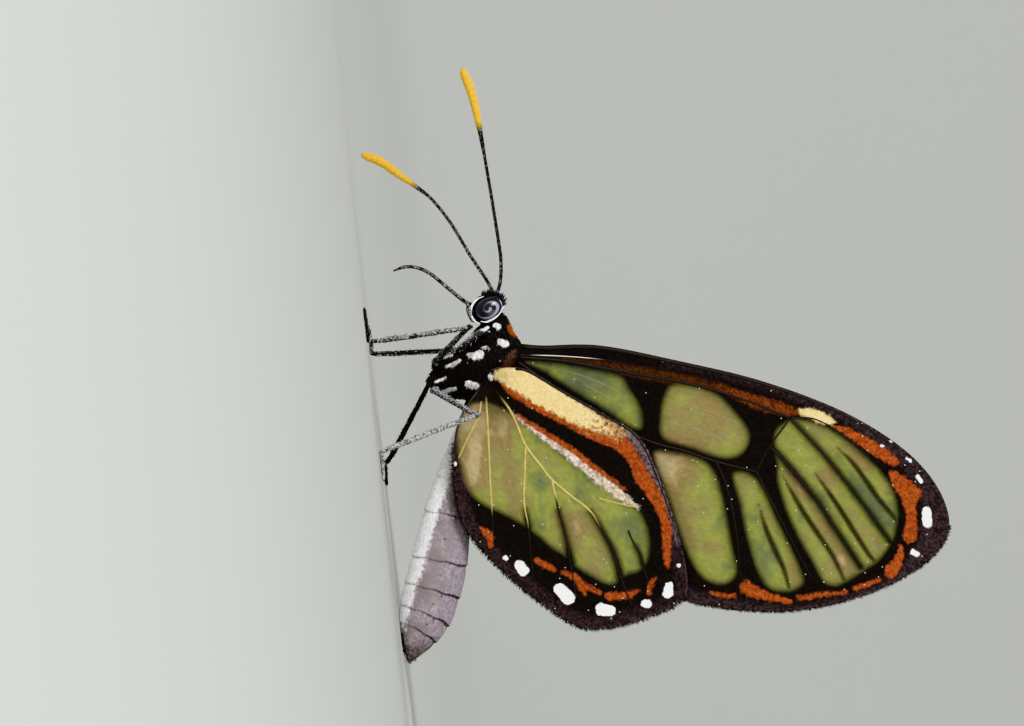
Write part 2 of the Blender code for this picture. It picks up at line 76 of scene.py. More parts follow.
# Studio: radius of the floor, and of the curve that turns it into a wall; lamps as (place, size, power)
FLOOR_RADIUS = 1200.0
WALL_CURVE = 700.0
STAGE_SIDES = 96
SURROUND_STRENGTH = 0.46
LAMP_AIM = (0, 0, 12)
LAMPS = (
    ("key", (-650, -1050, 620), 560, 13.5),
    ("fill", (850, -900, 400), 900, 4.5),
    ("back", (-400, 1400, 1300), 900, 12.0),
)

# Wings, as in the solids: root, angle of the long axis above the floor, outline
WING_HALF_THICKNESS = 0.05
WING_STEP = 0.11
FOREWING_ROOT = (0.0, 8.9)
FOREWING_ANGLE = math.radians(63.1)
FOREWING_OUTLINE = (
    (-1.0, -0.2), (-0.5, 0.6), (1.4, 1.2), (4.6, 2.4), (9.5, 3.2), (14.5, 3.8), (19.7, 3.8), (23.9, 3.0),
    (26.7, 1.6), (28.3, -0.3), (28.2, -2.2), (26.9, -4.3), (24.5, -6.6), (21.1, -8.7), (17.0, -10.0),
    (13.9, -10.1), (8.9, -7.4), (4.3, -3.9), (1.0, -1.6), (-0.4, -0.9),
)  # fmt: skip
HINDWING_ROOT = (1.55, 7.5)
HINDWING_ANGLE = math.radians(35.1)
HINDWING_OUTLINE = (
    (-0.9, 0.2), (-0.35, 1.2), (0.8, 2.1), (3.3, 2.9), (5.7, 3.7), (8.3, 4.4), (11.4, 3.5), (14.9, 1.9),
    (17.0, 0.5), (17.3, -0.6), (16.9, -2.1), (15.7, -4.6), (14.2, -6.1), (11.1, -6.9), (7.8, -7.3),
    (5.0, -7.1), (2.7, -5.8), (0.8, -4.1), (-0.1, -2.6), (-0.5, -1.0),
)  # fmt: skip

# How far the wings stand from the middle plane: less towards the tips; the hindwings lie outside the
# forewings, bulge round the abdomen and are drawn in near their roots
SPREAD_AT_TIPS = 0.45
SPREAD_AT_ROOT = 0.4
SPREAD_LENGTH = 6.0
HINDWING_OUTSIDE = 1.0
HINDWING_TUCK = 0.8
HINDWING_TUCK_PLACE = (1.45, 7.1)
HINDWING_TUCK_RADIUS = 1.1
FOLD_ROUND_ABDOMEN = 0.35
FOLD_RADIUS = 1.8

# Short hair scales along the hems, from this far along each wing
FOREWING_HEM_START = 8.0
HINDWING_HEM_START = 1.0
FRINGE_STEP = 0.045
FRINGE_LENGTHS = (0.12, 0.36)
FRINGE_WIDTH = 0.05
FOREWING_FRINGE_SHARE = 0.75

# Forewing veins: (along, ahead) places, and the radius at the root end and at the tip end. Where a
# vein starts out pale, the share of its length that is pale follows, and its tone if not yellow
VEIN_SIDES = 8
FOREWING_VEINS = {
    "costa": (
        ((0.2, 0.7), (1.4, 1.05), (4.6, 2.25), (9.5, 3.05), (14.5, 3.65), (19.7, 3.65), (23.9, 2.85)), 0.16,
        0.07,
    ),
    "subcosta": (
        ((0.1, 0.12), (2.5, 0.94), (4.9, 1.62), (7.3, 2.13), (9.4, 2.6), (13.5, 3.3)), 0.065, 0.04, 0.34,
        "white",
    ),
    "faint_1": (((3.0, 0.22), (5.0, 0.28), (6.6, 0.12), (7.9, -0.15)), 0.03, 0.03, 1.0, "faint"),
    "faint_2": (((4.5, -0.18), (6.2, -0.42), (7.7, -0.90)), 0.03, 0.03, 1.0, "faint"),
    "faint_3": (((9.9, 0.60), (12.0, 0.95), (14.1, 0.85)), 0.03, 0.03, 1.0, "faint"),
    "faint_4": (((10.1, -0.50), (12.4, -0.35), (14.4, -0.45)), 0.03, 0.03, 1.0, "faint"),
    "radius": (
        ((0.2, 0.0), (2.7, 0.70), (5.1, 1.15), (7.4, 1.55), (11.0, 2.15), (14.0, 2.35), (17.0, 2.3)), 0.13,
        0.09,
    ),
    "radial_branch": (
        ((17.0, 2.3), (18.4, 2.75), (20.2, 2.5), (21.8, 1.95), (23.4, 1.1), (24.9, -0.1)), 0.08, 0.04,
    ),
    "cubitus": (
        ((0.2, -0.3), (2.0, -0.75), (4.6, -1.3), (8.9, -2.02), (11.7, -1.83), (13.6, -1.78), (16.2, -1.5)),
        0.12, 0.08,
    ),
    "cell_end": (((16.2, -1.5), (16.4, 0.2), (17.0, 2.3)), 0.07, 0.07),
    "median_1": (
        ((17.0, 2.2), (19.0, 1.28), (20.2, 0.63), (22.7, -0.90), (24.9, -2.37), (26.4, -3.3)), 0.08, 0.05,
    ),
    "median_2": (
        (
            (16.4, 0.2), (17.1, -0.08), (18.9, -1.04), (20.6, -2.1), (21.7, -2.93), (22.85, -3.75),
            (25.3, -5.4),
        ),
        0.08, 0.05,
    ),
    "median_3": (((16.2, -1.5), (18.1, -3.25), (20.4, -5.35), (22.6, -7.2)), 0.08, 0.05),
    "cubital": (((13.7, -1.8), (14.9, -3.1), (16.3, -5.3), (17.4, -7.6), (17.9, -9.0)), 0.08, 0.05),
    "anal": (((0.4, -0.6), (5.8, -4.3), (10.8, -7.3), (14.7, -9.3)), 0.09, 0.05),
}  # fmt: skip

# Faint folds between the veins, painted as soft brown lines of shade in their creases
FOREWING_FOLDS = (
    ((17.0, -3.3), (17.9, -4.5), (18.9, -5.57), (19.8, -6.45), (20.5, -7.4)),
    ((17.75, -1.15), (18.8, -2.04), (19.9, -2.93), (21.1, -3.79), (22.3, -4.65), (23.6, -5.9)),
    ((19.6, -0.34), (20.7, -1.10), (21.9, -1.96), (23.15, -2.92), (24.3, -3.78), (25.0, -4.2)),
    ((20.3, 1.6), (21.4, 1.11), (22.6, 0.34), (23.7, -0.42), (24.9, -1.10), (25.4, -1.4)),
)  # fmt: skip
FOLD_HALF_WIDTHS = (0.03, 0.15, 0.17, 0.15, 0.10)
# Painted shade: the bare membrane darkens beside each fold
FOLD_PAINTED_SHADE = 0.38  # depth in a cell that the membrane has at a fold's edge, so that it darkens there

# Hindwing veins, in the same form
HINDWING_VEINS = {
    "costa": (
        (
            (0.1, 1.5), (0.8, 2.0), (3.3, 2.8), (5.7, 3.6), (8.2, 4.25), (11.3, 3.35), (14.8, 1.8),
            (16.7, 0.5),
        ),
        0.10, 0.05, 0.0,
    ),
    "radius": (
        ((3.2, -0.2), (4.4, -0.05), (5.8, 0.2), (7.9, 0.7), (9.0, 0.9), (10.1, 1.17), (11.3, 1.5)), 0.04,
        0.07, 1.0,
    ),
    "cross": (((9.3, 0.04), (10.2, 0.61), (11.3, 1.41)), 0.055, 0.055, 1.0),
    "cubitus": (
        (
            (0.2, -0.3), (1.7, -0.41), (2.7, -0.7), (4.0, -1.15), (5.5, -1.27), (6.6, -1.33), (8.1, -1.12),
            (9.6, -0.85), (10.7, -1.04), (12.3, -1.42), (13.7, -2.07), (15.6, -2.8),
        ),
        0.09, 0.075, 0.64,
    ),
    "cubital_1": (
        ((6.6, -1.33), (7.3, -1.72), (8.3, -2.27), (9.7, -2.96), (10.5, -3.43), (13.0, -5.0)), 0.075, 0.07,
        0.16,
    ),
    "cubital_2": (
        ((4.0, -1.15), (5.1, -2.2), (6.4, -3.42), (7.2, -3.93), (7.8, -4.3), (10.4, -6.2)), 0.08, 0.06,
        0.58,
    ),
    "median": (((12.0, 0.1), (12.6, -0.11), (13.6, -0.35), (14.4, -0.74), (15.9, -1.3)), 0.06, 0.06, 0.0),
    "anal_2": (
        ((0.2, -1.0), (0.81, -1.48), (2.56, -2.87), (4.14, -4.16), (5.42, -5.16), (7.0, -6.4)), 0.08, 0.06,
        0.80,
    ),
    "anal_3": (((0.2, -1.4), (0.78, -2.13), (1.28, -3.39), (1.87, -4.73)), 0.075, 0.06, 1.0),
}  # fmt: skip

# Markings of the forewing: closed outlines, and lines as (path, half widths from end to end)
CELL_TINT = 0.42
FOREWING_MARGIN_START = 9.0
FOREWING_CELLS = (
    (
        (0.7, -0.10), (2.7, 0.50), (5.1, 0.95), (6.5, 1.05), (7.25, 0.49), (7.95, -0.03), (8.5, -0.69),
        (8.7, -1.45), (8.0, -1.63), (5.9, -1.13), (3.8, -0.74), (2.0, -0.30),
    ),
    (
        (9.5, 1.67), (10.6, 2.05), (11.8, 2.15), (12.7, 1.99), (13.7, 1.46), (14.6, 0.93), (15.1, 0.30),
        (15.1, -0.49), (14.7, -1.11), (13.8, -1.48), (11.9, -1.55), (10.1, -1.56), (9.5, -0.28),
        (9.3, 0.81),
    ),
    (
        (9.9, -2.53), (11.4, -2.05), (12.7, -1.95), (13.6, -2.25), (14.3, -2.95), (15.3, -4.45),
        (16.4, -6.3), (17.2, -7.60), (16.95, -8.46), (16.2, -8.79), (15.3, -8.67), (14.3, -7.95),
        (13.2, -6.74), (12.0, -5.24), (10.7, -3.73),
    ),
    (
        (14.9, -2.20), (15.5, -1.75), (16.3, -1.90), (17.0, -2.40), (17.9, -3.30), (18.8, -4.20),
        (19.7, -5.02), (20.75, -6.10), (21.25, -6.85), (20.7, -7.60), (19.6, -7.92), (18.7, -7.49),
        (17.7, -6.35), (16.8, -5.07), (15.8, -3.50),
    ),
    (
        (16.4, 1.17), (16.8, 1.96), (17.3, 2.35), (18.7, 2.60), (20.1, 2.38), (21.7, 1.86), (23.2, 1.22),
        (24.2, 0.55), (25.1, -0.65), (25.4, -1.80), (25.4, -2.79), (25.1, -3.91), (24.5, -4.80),
        (23.9, -5.60), (23.3, -6.25), (22.6, -6.45), (22.0, -6.10), (21.3, -5.45), (20.2, -4.55),
        (19.15, -3.54), (18.3, -2.56), (17.55, -1.50), (17.25, -0.67), (16.8, 0.14),
    ),
)  # fmt: skip
FOREWING_FIELD = (
    (
        (-2.0, 3.0), (4.0, 1.9), (12.0, 3.2), (19.0, 3.3), (24.0, 2.0), (26.3, 0.3), (26.8, -2.2),
        (25.9, -4.8), (22.0, -7.9), (18.0, -9.2), (14.0, -9.4), (8.0, -6.6), (-2.0, -2.0),
    ),
)  # fmt: skip
FOREWING_CELL_BARS = (
    (
        (
            (16.3, 0.35), (17.1, -0.05), (18.9, -1.04), (20.6, -2.1), (21.7, -2.93), (22.85, -3.75),
            (24.2, -4.75),
        ),
        (0.15, 0.15, 0.14, 0.13),
    ),
    (
        ((17.0, 2.3), (19.0, 1.28), (20.2, 0.63), (22.7, -0.90), (24.9, -2.37), (25.8, -2.9)),
        (0.08, 0.11, 0.13),
    ),
)  # fmt: skip
FOREWING_CREAM = (((17.3, 2.87), (17.7, 3.17), (18.6, 3.30), (19.6, 3.07), (19.3, 2.72), (18.2, 2.66)),)
FOREWING_ORANGE = (
    (
        (19.7, 2.74), (20.3, 2.95), (21.7, 2.82), (23.1, 2.57), (24.1, 2.14), (23.9, 1.74), (22.5, 1.95),
        (21.2, 2.31),
    ),
    (
        (23.8, 1.38), (24.5, 1.40), (25.5, 1.11), (26.1, 0.80), (26.0, 0.07), (26.4, -0.87), (26.75, -1.86),
        (26.4, -2.32), (25.9, -2.05), (25.8, -1.09), (25.1, -0.03), (24.3, 0.57),
    ),
    (
        (25.9, -2.64), (26.3, -2.90), (26.5, -3.73), (26.3, -4.60), (25.8, -4.70), (25.6, -4.29),
        (25.9, -3.62),
    ),
    (
        (17.85, -8.70), (17.80, -7.92), (18.3, -7.98), (19.4, -8.15), (20.2, -8.11), (20.95, -8.10),
        (20.9, -8.35), (19.4, -8.65),
    ),
)  # fmt: skip
FOREWING_ORANGE_LINES = (
    (((24.3, -6.10), (24.9, -5.62), (25.5, -5.05)), (0.12, 0.15, 0.10)),
    (((21.3, -7.78), (22.0, -7.46), (22.7, -7.03), (23.9, -6.48)), (0.15, 0.16, 0.13, 0.10)),
    (((16.2, -9.38), (16.9, -9.27), (17.6, -9.07)), (0.10, 0.15, 0.10)),
)  # fmt: skip
FOREWING_RUST = (
    (
        (12.2, 2.66), (13.8, 2.80), (15.3, 2.92), (16.8, 3.00), (17.4, 2.83), (17.0, 2.45), (16.0, 2.20),
        (14.9, 2.08), (13.7, 2.24), (12.5, 2.46),
    ),
)  # fmt: skip
FOREWING_BROWN_LINES = (
    (
        ((2.4, 0.80), (4.4, 1.20), (6.3, 1.50), (8.4, 1.88), (10.5, 2.25), (12.5, 2.58)),
        (0.05, 0.18, 0.28, 0.34, 0.32, 0.24),
    ),
)  # fmt: skip
FOREWING_WHITE = (
    ((26.74, -0.12), (27.05, -0.80), (0.24, 0.27)), ((25.5, 1.63), (25.79, 1.43), (0.11, 0.09)),
    ((26.86, -2.75), (27.15, -2.81), (0.14, 0.12)), ((23.19, 3.03), (23.25, 3.05), (0.06, 0.06)),
    ((22.78, 2.66), (22.85, 2.66), (0.07, 0.05)), ((24.5, 2.46), (24.75, 2.40), (0.05, 0.05)),
    ((8.47, 2.88), (8.52, 2.90), (0.05, 0.05)),
)  # fmt: skip
FOREWING_TINTS = (
    ((4.5, 0.2), 3.0, -0.32), ((12.2, 0.5), 2.2, 0.30), ((11.0, -3.0), 1.7, 0.50),
    ((14.0, -6.0), 1.8, 0.05), ((18.0, -5.0), 2.2, -0.16), ((20.0, 0.5), 2.2, 0.10),
    ((23.5, -4.5), 2.0, 0.22), ((24.0, -1.0), 2.0, -0.22),
)  # fmt: skip
FOREWING_PLEATS = (
    (((17.9, -0.85), (20.4, -2.53), (23.2, -4.9)), 0.34, 0.26),
    (((20.2, -0.1), (22.2, -1.44), (24.7, -3.2)), 0.34, 0.22),
    (((20.6, 1.0), (22.3, 0.0), (24.9, -1.7)), 0.34, -0.24),
    (((20.7, 1.85), (22.5, 1.1), (24.2, 0.0)), 0.34, 0.26),
    (((19.4, -0.8), (21.3, -2.1), (23.9, -4.0)), 0.28, -0.18),
    (((17.4, -3.6), (19.1, -5.0), (21.0, -7.1)), 0.30, 0.30),
    (((10.7, -2.9), (12.1, -4.9), (14.1, -7.2)), 0.50, 0.24),
)  # fmt: skip

# Markings of the hindwing
HINDWING_MARGIN = 0.70
CREAM_DUST_START = 7.7
HINDWING_CELLS = (
    (
        (-0.2, -2.2), (0.3, -1.3), (1.2, -0.75), (2.4, -0.30), (4.3, 0.00), (6.2, 0.30), (7.9, 0.62),
        (9.5, 1.00), (11.3, 1.38), (12.5, 1.15), (13.4, 0.62), (14.1, -0.15), (14.3, -1.04), (13.95, -1.84),
        (13.9, -2.62), (13.6, -3.05), (12.6, -3.45), (11.6, -3.74), (10.7, -3.80), (9.7, -4.10),
        (8.5, -4.25), (7.4, -4.50), (6.1, -5.00), (4.9, -5.50), (3.6, -5.58), (2.4, -5.05), (1.0, -4.15),
        (0.2, -3.3),
    ),
)  # fmt: skip
HINDWING_CELL_BARS = (
    (((8.3, -2.27), (9.7, -2.96), (10.5, -3.43), (11.2, -3.9)), (0.05, 0.10, 0.28)),
    (((9.6, -0.85), (10.7, -1.04), (12.3, -1.42), (13.7, -2.07), (14.2, -2.4)), (0.05, 0.14, 0.24)),
    (((6.9, -3.75), (7.4, -4.05), (8.2, -4.6)), (0.03, 0.20)),
    (((13.0, -0.20), (13.6, -0.35), (14.4, -0.74)), (0.02, 0.10)),
)  # fmt: skip
HINDWING_CREAM = (
    (
        (-0.5, 0.25), (-0.5, 1.10), (-0.1, 1.72), (0.5, 2.0), (1.9, 2.35), (3.9, 2.92), (5.2, 3.30),
        (6.4, 3.64), (7.4, 3.86), (7.35, 3.45), (6.6, 2.85), (5.7, 2.34), (4.93, 1.96), (3.87, 1.53),
        (2.56, 1.05), (1.4, 0.70), (0.3, 0.35),
    ),
)  # fmt: skip
HINDWING_ORANGE = (
    (
        (0.2, 0.42), (1.4, 0.85), (2.6, 1.25), (3.9, 1.75), (4.9, 2.15), (5.7, 2.55), (6.4, 3.00),
        (6.7, 3.40), (7.0, 3.62), (7.5, 3.72), (8.3, 3.75), (9.1, 3.60), (10.0, 3.38), (10.8, 3.26),
        (11.8, 3.02), (12.5, 2.77), (13.2, 2.40), (13.8, 2.05), (14.5, 1.36), (15.2, 0.71), (15.3, 0.38),
        (14.9, 0.50), (14.3, 0.89), (13.5, 1.52), (12.8, 1.98), (12.0, 2.22), (11.2, 2.38), (10.2, 2.40),
        (9.4, 2.67), (8.8, 2.89), (8.0, 2.84), (7.3, 2.56), (6.3, 2.06), (5.2, 1.65), (4.1, 1.26),
        (2.9, 0.74), (1.96, 0.45), (0.7, 0.15),
    ),
)  # fmt: skip
HINDWING_BLACK = (
    (
        (-0.4, -0.5), (0.0, 0.3), (1.8, 0.60), (3.5, 1.15), (5.6, 1.95), (7.0, 2.6), (8.3, 3.0), (9.4, 2.8),
        (10.4, 2.60), (11.5, 2.5), (12.5, 2.2), (13.7, 1.6), (14.5, 0.9), (14.4, 0.0), (13.7, 0.70),
        (12.7, 1.32), (11.5, 1.69), (10.5, 1.66), (9.7, 1.49), (8.4, 1.16), (6.9, 0.90), (5.5, 0.56),
        (3.9, 0.22), (2.4, -0.16), (0.9, -0.47), (0.0, -0.9),
    ),
)  # fmt: skip
HINDWING_RUST_LINES = (
    (
        ((2.2, -0.28), (3.1, -0.08), (4.6, 0.36), (6.2, 0.82), (7.7, 1.10), (9.2, 1.45), (10.2, 1.62)),
        (0.06, 0.13, 0.16, 0.16, 0.14, 0.10, 0.04),
    ),
)  # fmt: skip
HINDWING_PALE_LINES = (
    (
        ((2.0, -0.42), (4.0, 0.00), (5.6, 0.34), (7.2, 0.66), (8.7, 0.92), (10.2, 1.22), (11.5, 1.50)),
        (0.06, 0.20, 0.25, 0.29, 0.34, 0.28, 0.05),
    ),
)  # fmt: skip
HINDWING_ORANGE_LINES = (
    (((5.9, -6.50), (6.6, -6.45), (7.2, -6.80)), (0.06, 0.26, 0.12)),
    (((9.6, -5.28), (10.2, -5.08), (10.8, -4.86)), (0.10, 0.22, 0.12)),
    (((11.2, -4.62), (11.9, -4.27), (12.9, -4.06), (13.7, -3.70)), (0.10, 0.18, 0.17, 0.12)),
    (((14.2, -3.45), (14.9, -2.62), (15.15, -1.90)), (0.22, 0.22, 0.10)),
    (((15.65, -1.45), (15.35, -1.0), (15.27, -0.55)), (0.14, 0.16, 0.06)),
    (((12.0, -4.25), (12.6, -4.35), (13.1, -4.45)), (0.06, 0.16, 0.10)),
)  # fmt: skip
HINDWING_BORDER_LINES = (
    (
        ((6.6, 3.62), (7.4, 3.95), (8.3, 4.15), (9.6, 3.98), (11.0, 3.45), (13.0, 2.75), (14.6, 1.85)),
        (0.05, 0.32, 0.46, 0.44, 0.34, 0.20, 0.08),
    ),
)  # fmt: skip
HINDWING_WHITE = (
    ((9.22, -6.25), (9.62, -6.30), (0.30, 0.32)), ((11.90, -5.40), (12.66, -5.36), (0.34, 0.38)),
    ((14.55, -4.30), (14.95, -3.96), (0.36, 0.30)), ((16.05, -2.06), (16.09, -1.98), (0.24, 0.24)),
    ((16.20, -0.28), (16.46, -0.62), (0.23, 0.29)), ((8.29, -6.59), (8.31, -6.60), (0.13, 0.13)),
    ((15.67, 1.00), (15.70, 0.96), (0.09, 0.07)), ((2.0, -5.06), (2.03, -5.10), (0.08, 0.05)),
)  # fmt: skip
HINDWING_TINTS = (
    ((0.8, -2.8), 1.9, 0.66), ((3.0, -4.5), 1.0, 0.35), ((6.0, -3.0), 1.6, 0.05), ((9.6, -2.2), 1.3, 0.34),
    ((8.0, 0.0), 1.8, -0.12), ((12.4, 0.4), 1.5, -0.22), ((12.5, -2.4), 1.2, 0.20),
)  # fmt: skip
HINDWING_PLEATS = (
    (((1.9, -1.1), (4.3, -2.8), (7.1, -4.8)), 0.40, 0.24),
    (((1.8, -3.2), (2.9, -4.3), (3.8, -5.5)), 0.35, 0.26),
    (((5.9, -1.6), (7.1, -2.7), (8.6, -3.8)), 0.40, -0.18),
)  # fmt: skip

# Every marking that a wing's membrane carries
MARKS = (
    "margin", "edge", "border", "brown", "clear", "tint", "rust", "pale", "black", "orange", "cream",
    "dust", "white", "dark",
)  # fmt: skip

# Sizes of the patterns in the finishes
WING_SCALE = 0.13
WING_RAG = 0.28
MEMBRANE_PATCH = 1.8
MEMBRANE_STREAK = 0.20
WING_FLECK_SPACING = 0.7
VEIN_MOTTLE = 0.4
BODY_SCALE = 0.14
BODY_RAG = 0.22
LILAC_PATCH = 1.1
BODY_FLECK_SPACING = 0.5
LIMB_SCALE = 0.06
LIMB_CLUMP = 0.14
EYE_LENS = 0.05
PAPER_FIBRE = 40.0

# Colours of the membrane by its tint, and of the scales as (mark, dark, light, softness, raggedness)
MEMBRANE_TINTS = (
    (0.0, "#72785C"), (0.22, "#828A58"), (0.42, "#A1A558"), (0.62, "#9A905E"), (0.80, "#9E885A"),
    (1.0, "#BEAC80"),
)  # fmt: skip
WING_COLOURS_UNDER_CELLS = (
    ("margin", "#1C1516", "#4C3F42", 0.36, 0.40),
    ("border", "#483B3C", "#82747A", 0.26, 0.30),
    ("brown", "#200F05", "#522809", 0.16, 0.12),
)
WING_COLOURS_OVER_CELLS = (
    ("black", "#070505", "#181210", 0.10, 0.16),
    ("pale", "#A48C7C", "#EEE0D4", 0.14, 0.60),
    ("rust", "#3E1708", "#85401A", 0.14, 0.55),
    ("orange", "#80361A", "#B85C2E", 0.09, 0.42),
    ("cream", "#E6C884", "#F8E4AE", 0.14, 0.50),
    ("dust", "#7E5236", "#C6A070", 0.16, 1.45),
    # Painted shade in the creases of the forewing's folds
    ("dark", "#262213", "#3C371D", 0.12, 0.03),
    ("edge", "#0C0909", "#5A4C4A", 0.06, 0.10),
    ("white", "#F0EEEE", "#FFFFFF", 0.05, 0.26),
)
BODY_COLOURS = (
    ("back", "#8A7F88", "#ACA0AA", 0.22, 0.50),
    ("stripe", "#E8E3E8", "#FFFFFF", 0.16, 0.70),
    ("tip", "#50443F", "#83787A", 0.45, 1.20),
    ("seam", "#35262C", "#5C4C50", 0.045, 0.09),
    ("orange", "#B0501A", "#DA7A2C", 0.10, 0.20),
    ("brown", "#33201B", "#8A6458", 0.16, 1.00),
    ("white", "#ECEAEC", "#FFFFFF", 0.05, 0.22),
)
HAIR_COLOURS = (
    ("white", "#DDDADD", "#FFFFFF", 0.05, 0.0),
    ("orange", "#B0501A", "#DA7A2C", 0.1, 0.0),
    ("lilac", "#8E8290", "#B4A8B2", 0.1, 0.0),
    ("brown", "#3A2620", "#A07A6C", 0.16, 0.0),
)

# Body, as in the solids, and how far its skin lies inside them
SKIN_DEPTH = 0.10
ABDOMEN_SKIN_DEPTH = 0.03
SKIN_VOXEL = 0.075
FLOOR_GAP = 0.005

# Thorax: lowest and highest (X, Z) of each section, and its half width
THORAX_RINGS = (
    ((-2.05, 6.90), (-2.75, 8.30), 0.70), ((-1.75, 6.50), (-2.40, 8.70), 1.00),
    ((-1.30, 6.05), (-1.45, 9.00), 1.35), ((-0.68, 5.20), (-0.75, 9.32), 1.62),
    ((0.05, 3.95), (-0.10, 9.45), 1.80), ((0.75, 3.42), (0.50, 9.15), 1.80),
    ((1.45, 3.55), (1.25, 8.50), 1.60), ((1.98, 4.45), (1.90, 7.70), 1.20),
    ((2.25, 5.40), (2.20, 7.05), 0.75),
)  # fmt: skip

# Head, face, neck and eyes; EYE_OUT is the eyes' distance from the middle plane
HEAD_PLACE = (-3.15, 7.5)
HEAD_FORWARD = np.array((-0.91, 0.0, -0.41)) / math.hypot(0.91, 0.41)
HEAD_HALF_SIZES = (0.75, 0.95, 0.97)
FACE_HALF_SIZES = (0.34, 0.42, 0.60)
NECK_PLACE = (-2.35, 0, 7.62)
NECK_HALF_SIZES = (0.60, 0.62, 0.60)
EYE_PLACE = (-3.075, 7.58)
EYE_HALF_SIZES = (0.66, 0.57, 0.87)
EYE_OUT = 0.66
EYE_SOCKET = ((-3.05, 0.46, 7.45), (0.78, 0.20, 1.02))
EYE_RIM_RADIUS = 0.08
SWIRL_TURNS = 1.75
SWIRL_START = 2.6

# Hips and wing roots that swell the chest on both sides: place, half sizes, and the way each leans
BODY_BULGES = (
    ((-0.20, 0.85, 4.75), (0.42, 0.45, 1.05), (-0.35, 0, 1)),
    ((1.10, 0.80, 4.25), (0.40, 0.45, 0.95), (0.30, 0, 1)),
    ((-1.45, 0.95, 6.60), (0.26, 0.36, 0.80), (-0.5, 0, 1)),
    ((-0.75, 1.18, 8.35), (0.50, 0.32, 0.60), (-0.2, 0, 1)),
    ((1.30, 1.15, 6.60), (0.45, 0.28, 1.10), (-0.3, 0, 1)),
    ((-1.75, 0.60, 8.35), (0.32, 0.36, 0.36), (0, 0, 1)),
)

# Abdomen: (X, Z, half height, half width), and the ends of its segments
ABDOMEN_STATIONS = (
    (1.90, 6.50, 0.60, 0.55), (2.70, 6.12, 0.66, 0.62), (4.80, 5.19, 0.86, 0.80), (6.90, 4.31, 1.11, 0.95),
    (9.20, 3.61, 1.49, 1.20), (12.0, 2.80, 1.76, 1.42), (13.7, 2.16, 1.77, 1.48), (15.1, 1.58, 1.66, 1.38),
    (16.3, 1.02, 1.22, 1.02), (17.2, 0.60, 0.62, 0.55), (17.82, 0.34, 0.10, 0.10),
)  # fmt: skip
SEGMENT_ENDS = (3.6, 5.2, 7.0, 9.1, 11.86, 13.55, 14.95, 15.95)

# Where the abdomen's markings start or end in X, and their heights in half heights from its middle
LILAC_START = 2.35
ABDOMEN_START = 2.6
SEAMS_START = 8.0
CREASES_START = 8.5
STRIPE_END = 15.6
TIP_START = 16.8
BACK_HEIGHT = 0.38
BELLY_STRIPE = ((3, 5, 7, 9, 13, 16), (-0.10, -0.12, -0.16, -0.38, -0.52, -0.62))

# The body's middle line in X and Z, round which its hairs are unwrapped for the bake
BODY_MIDDLE = ((-3.8, -3.15, -1.5, 0.3, 2.3, 18.0), (7.5, 7.5, 7.5, 6.5, 6.2, 0.4))

# Body hair: where it ends in X, how many, how long and wide, the way it lies, and how far it rises.
# It leaves the eyes free in a circle that is wider below EYE_CLEARING_LEVEL
HAIR_END = 2.5
NECK = -2.5
CROWN = (-3.1, 7.2)
EYE_CLEARING_LEVEL = 7.8
EYE_CLEARING = (1.30, 1.0)
HAIR_COUNT = 11000
HAIR_WIDTHS = (0.04, 0.08)
HAIR_LIE = np.array((0.85, 0.0, -0.35))
BODY_HAIR_LENGTHS = (0.10, 0.26)
BODY_HAIR_RISE = 0.30
HEAD_HAIR_LENGTHS = (0.08, 0.22)
HEAD_HAIR_RISE = 0.9
CROWN_HAIR_LIE = np.array((-0.8, 0.0, 0.5))
CROWN_HAIR_GROWTH = 2.2
TIP_HAIR_COUNT = 170
TIP_HAIR_WIDTH = 0.05
TIP_HAIR_LENGTHS = (0.12, 0.26)
TIP_HAIR_LIE = np.array((0.95, 0.0, -0.25))

# Every hair: the share of its length at its bend, how deep it is rooted, and its size on the bake map
HAIR_MIDDLE = 0.55
HAIR_ROOT_DEPTH = 0.03
BAKE_PATCH = 0.003

# White marks on both sides of the thorax, (X, Z) paths with half widths; then its other markings
BODY_WHITE = (
    (((-0.97, 8.05), (-0.82, 8.33)), (0.20, 0.22)),
    (((-0.42, 6.05), (-0.30, 6.40), (-0.35, 6.72)), (0.10, 0.24, 0.26)),
    (((-0.73, 6.90), (-0.76, 7.15), (-0.60, 7.35)), (0.05, 0.06, 0.05)),
    (((-2.02, 7.88), (-1.90, 8.06)), (0.15, 0.16)),
    (((-1.64, 6.72), (-1.78, 7.05), (-1.92, 7.38)), (0.08, 0.13, 0.10)),
    (((-0.80, 5.30), (-1.12, 5.72), (-1.49, 6.16), (-1.62, 6.52)), (0.05, 0.07, 0.06, 0.05)),
    (((1.36, 5.80), (1.52, 6.28)), (0.20, 0.20)),
    (((1.70, 4.20), (1.59, 4.61), (1.52, 5.05)), (0.13, 0.12, 0.06)),
    (((1.00, 3.85), (0.93, 4.19), (0.80, 4.52)), (0.08, 0.09, 0.05)),
    (((0.17, 4.62), (0.05, 5.05), (-0.13, 5.45)), (0.08, 0.14, 0.10)),
    (((-0.39, 4.52), (-0.52, 5.00)), (0.05, 0.09)),
    (((1.02, 7.18), (1.20, 7.34), (1.50, 7.60)), (0.12, 0.16, 0.04)),
    (((2.10, 6.10), (1.90, 6.74), (1.58, 7.22)), (0.03, 0.05, 0.03)),
)  # fmt: skip
ORANGE_COLLAR = (((-1.84, 8.86), (-1.54, 8.94)), (0.26, 0.28))
BROWN_DOWN = (((-0.25, 8.75), (0.20, 8.45), (0.75, 8.05)), (0.16, 0.28, 0.16))
EYE_RIMS = (
    (
        (-3.84, 0.52, 7.36), (-3.68, 0.56, 6.90), (-3.28, 0.60, 6.54), (-2.83, 0.64, 6.46),
        (-2.43, 0.70, 6.62), (-2.22, 0.76, 6.92),
    ),
    (
        (-2.34, 0.76, 7.00), (-2.28, 0.76, 7.41), (-2.52, 0.73, 7.95), (-2.90, 0.64, 8.35),
        (-3.10, 0.56, 8.46),
    ),
)  # fmt: skip
